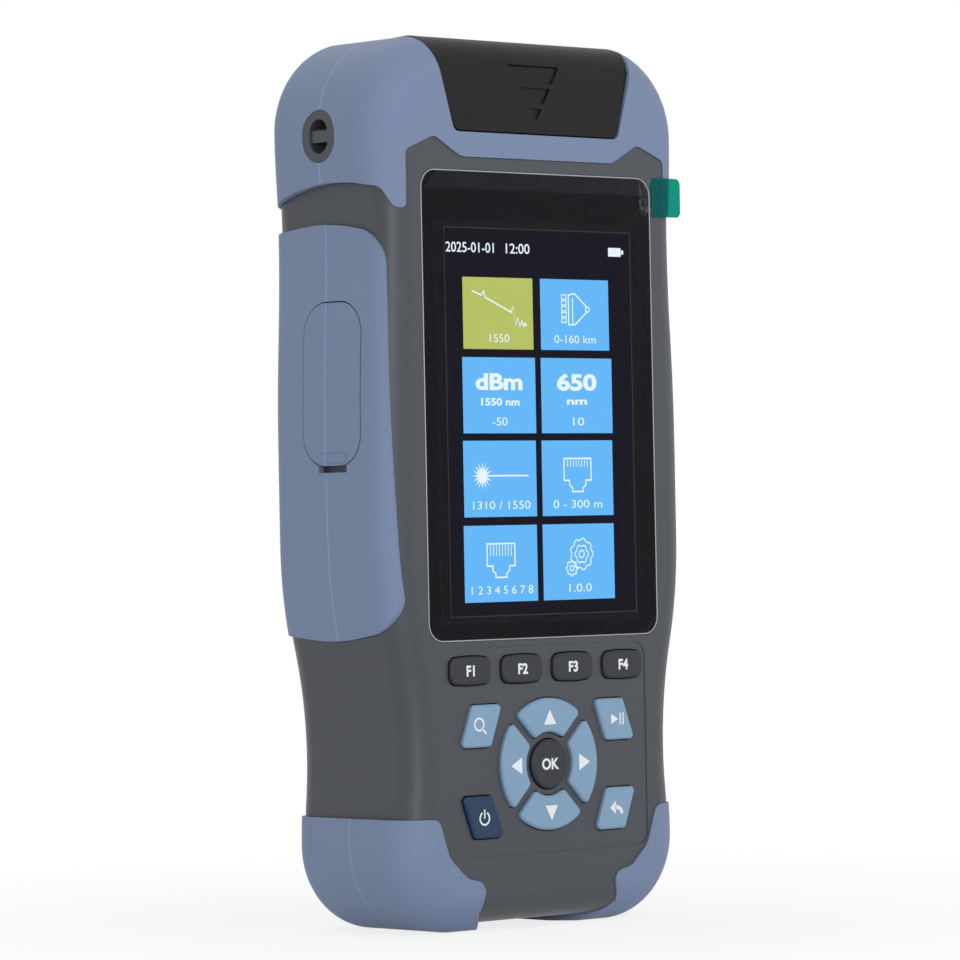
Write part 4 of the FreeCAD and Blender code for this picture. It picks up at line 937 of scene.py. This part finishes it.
class TESTER_OT_legends(bpy.types.Operator):
    """Makes the white printing on the keys."""

    bl_idname = "tester.legends"
    bl_label = "Key legends"

    def execute(self, context):
        for node in KEYS:
            low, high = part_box(node)
            middle = (low + high) / 2
            out = Drawing()
            self.mark(node, out, middle.x, middle.z)
            name = node.replace("key_", "legend_")
            out.piece(name, low.y - PRINT_AND_SHADE_LIFT, finish("legend"), BODY_OF[node], MARK_SLOT[node])
        return {"FINISHED"}

    def mark(self, node, out, x, z):
        """The mark of a key, drawn about the key's middle."""
        if node in SOFT_KEYS:
            out.words(f"F{SOFT_KEYS.index(node) + 1}", 2.75 * MM, x - 0.2 * MM, z, 0.09 * MM)
        elif node in ARROW_KEYS:
            self.pointer(out, x, z - (0.4 * MM if node == "key_down" else 0), ARROW_KEYS[node])
        else:
            marks = {
                "key_ok": self.okay, "key_zoom": self.lens, "key_play": self.play, "key_power": self.power,
                "key_back": self.back,
            }
            marks[node](out, x, z)

    def pointer(self, out, x, z, turn):
        """A triangle that points up, turned anticlockwise: (u cos a - v sin a, u sin a + v cos a)."""
        a = math.radians(turn)
        spots = np.array([(-1.6, -1.35), (1.6, -1.35), (0, 1.5)]) * MM
        turned = np.column_stack([
            spots[:, 0] * math.cos(a) - spots[:, 1] * math.sin(a),
            spots[:, 0] * math.sin(a) + spots[:, 1] * math.cos(a),
        ])
        out.area(turned + (x, z))

    def okay(self, out, x, z):
        """Two letters on the middle key."""
        out.words("OK", 2.9 * MM, x - 0.2 * MM, z, 0.09 * MM)

    def lens(self, out, x, z):
        """A magnifying glass."""
        x -= 0.95 * MM
        out.ring(x, z + 0.35 * MM, 1.15 * MM, 0.36 * MM)
        out.line([(x + 0.85 * MM, z - 0.5 * MM), (x + 1.8 * MM, z - 1.5 * MM)], 0.42 * MM)

    def play(self, out, x, z):
        """A pointer and two bars."""
        x += 0.3 * MM
        out.area([(x - 1.5 * MM, z - 1.0 * MM), (x + 0.4 * MM, z), (x - 1.5 * MM, z + 1.0 * MM)])
        for step in (0.95, 1.75):
            out.area(oblong(x + (step - 0.17) * MM, x + (step + 0.17) * MM, z - 1.15 * MM, z + 1.15 * MM))

    def power(self, out, x, z):
        """An open ring with a bar in its mouth."""
        out.ring(x, z - 0.2 * MM, 1.2 * MM, 0.36 * MM, 120, 300)
        out.area(oblong(x - 0.17 * MM, x + 0.17 * MM, z - 0.2 * MM, z + 1.5 * MM))

    def back(self, out, x, z):
        """An arrow that turns back to the left."""
        x -= 0.2 * MM
        out.area([(x - 1.7 * MM, z + 0.1 * MM), (x - 0.2 * MM, z - 1.2 * MM), (x - 0.2 * MM, z + 1.4 * MM)])
        tail = [(-0.3, 0.2), (0.6, 0.05), (1.2, -0.4), (1.5, -1.1)]
        out.line([(x + u * MM, z + v * MM) for u, v in tail], 0.75 * MM)


class TESTER_OT_stage(bpy.types.Operator):
    """Makes the floor, the lamps, the world and the camera."""

    bl_idname = "tester.stage"
    bl_label = "Stage"

    def execute(self, context):
        s = settings("tester_stage")
        scene = bpy.context.scene
        scene.view_settings.view_transform = "Standard"
        eye = bpy.data.cameras.new("view")
        eye.lens = s.lens
        eye.sensor_width = 36.0
        eye.clip_end = 20.0
        camera = bpy.data.objects.new("camera", eye)
        camera.location = s.camera_place
        camera.rotation_euler = Euler(s.camera_turn)
        scene.collection.objects.link(camera)
        scene.camera = camera
        plane = bpy.data.meshes.new("floor")
        corners = [(-1, -1, 0), (1, -1, 0), (1, 1, 0), (-1, 1, 0)]
        plane.from_pydata((FLOOR_HALF * np.array(corners)).tolist(), [], [(0, 1, 2, 3)])
        plane.materials.append(finish("floor"))
        floor = bpy.data.objects.new("floor", plane)
        scene.collection.objects.link(floor)
        floor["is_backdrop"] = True
        for name, (place, size, power) in LAMPS.items():
            light = bpy.data.lights.new(name, "AREA")
            light.size = size
            light.energy = power * s.lamp
            lamp = bpy.data.objects.new("lamp_" + name, light)
            lamp.location = place
            aim = Vector(LAMP_AIM) - Vector(place)
            lamp.rotation_euler = aim.to_track_quat("-Z", "Y").to_euler()
            scene.collection.objects.link(lamp)
        world = bpy.data.worlds.new("studio")
        world.use_nodes = True
        scene.world = world
        tree = world.node_tree
        ground = tree.nodes["Background"]
        strength = add(tree, "ShaderNodeMapRange", {"To Min": s.sky, "To Max": 1.0})
        tree.links.new(white_rays(tree), strength.inputs["Value"])
        tree.links.new(strength.outputs["Result"], ground.inputs["Strength"])
        ground.inputs["Color"].default_value = (1, 1, 1, 1)
        return {"FINISHED"}


class TESTER_PT_panel(bpy.types.Panel):
    """Lists the operators in the sidebar."""

    bl_idname = "TESTER_PT_panel"
    bl_label = "Reflectometer"
    bl_space_type = "VIEW_3D"
    bl_region_type = "UI"
    bl_category = "Reflectometer"

    def draw(self, context):
        """One button for each operator."""
        for operator in OPERATORS:
            self.layout.operator(operator.bl_idname)


OPERATORS = [
    TESTER_OT_stage,
    TESTER_OT_housing,
    TESTER_OT_rubber,
    TESTER_OT_cover,
    TESTER_OT_insides,
    TESTER_OT_screw_heads,
    TESTER_OT_window,
    TESTER_OT_screen,
    TESTER_OT_keys,
    TESTER_OT_legends,
]
GROUPS = {"tester_finish": FinishSettings, "tester_screen": ScreenSettings, "tester_stage": StageSettings}


def register():
    """Registers the property groups, operators and panel."""
    for group in GROUPS.values():
        bpy.utils.register_class(group)
    for name, group in GROUPS.items():
        setattr(bpy.types.Scene, name, bpy.props.PointerProperty(type=group))
    for operator in OPERATORS:
        bpy.utils.register_class(operator)
    bpy.utils.register_class(TESTER_PT_panel)


def unregister():
    """Takes them back in the opposite order."""
    bpy.utils.unregister_class(TESTER_PT_panel)
    for operator in reversed(OPERATORS):
        bpy.utils.unregister_class(operator)
    for name in GROUPS:
        delattr(bpy.types.Scene, name)
    for group in GROUPS.values():
        bpy.utils.unregister_class(group)


def main():
    """Makes every piece in order."""
    register()
    for operator in OPERATORS:
        family, action = operator.bl_idname.split(".")
        getattr(getattr(bpy.ops, family), action)()
    sizes = {"cad": cad_box, "visual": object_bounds()}
    plain = {name: [list(corner) for corner in box] for name, box in sizes.items()}


if __name__ == "__main__":
    main()
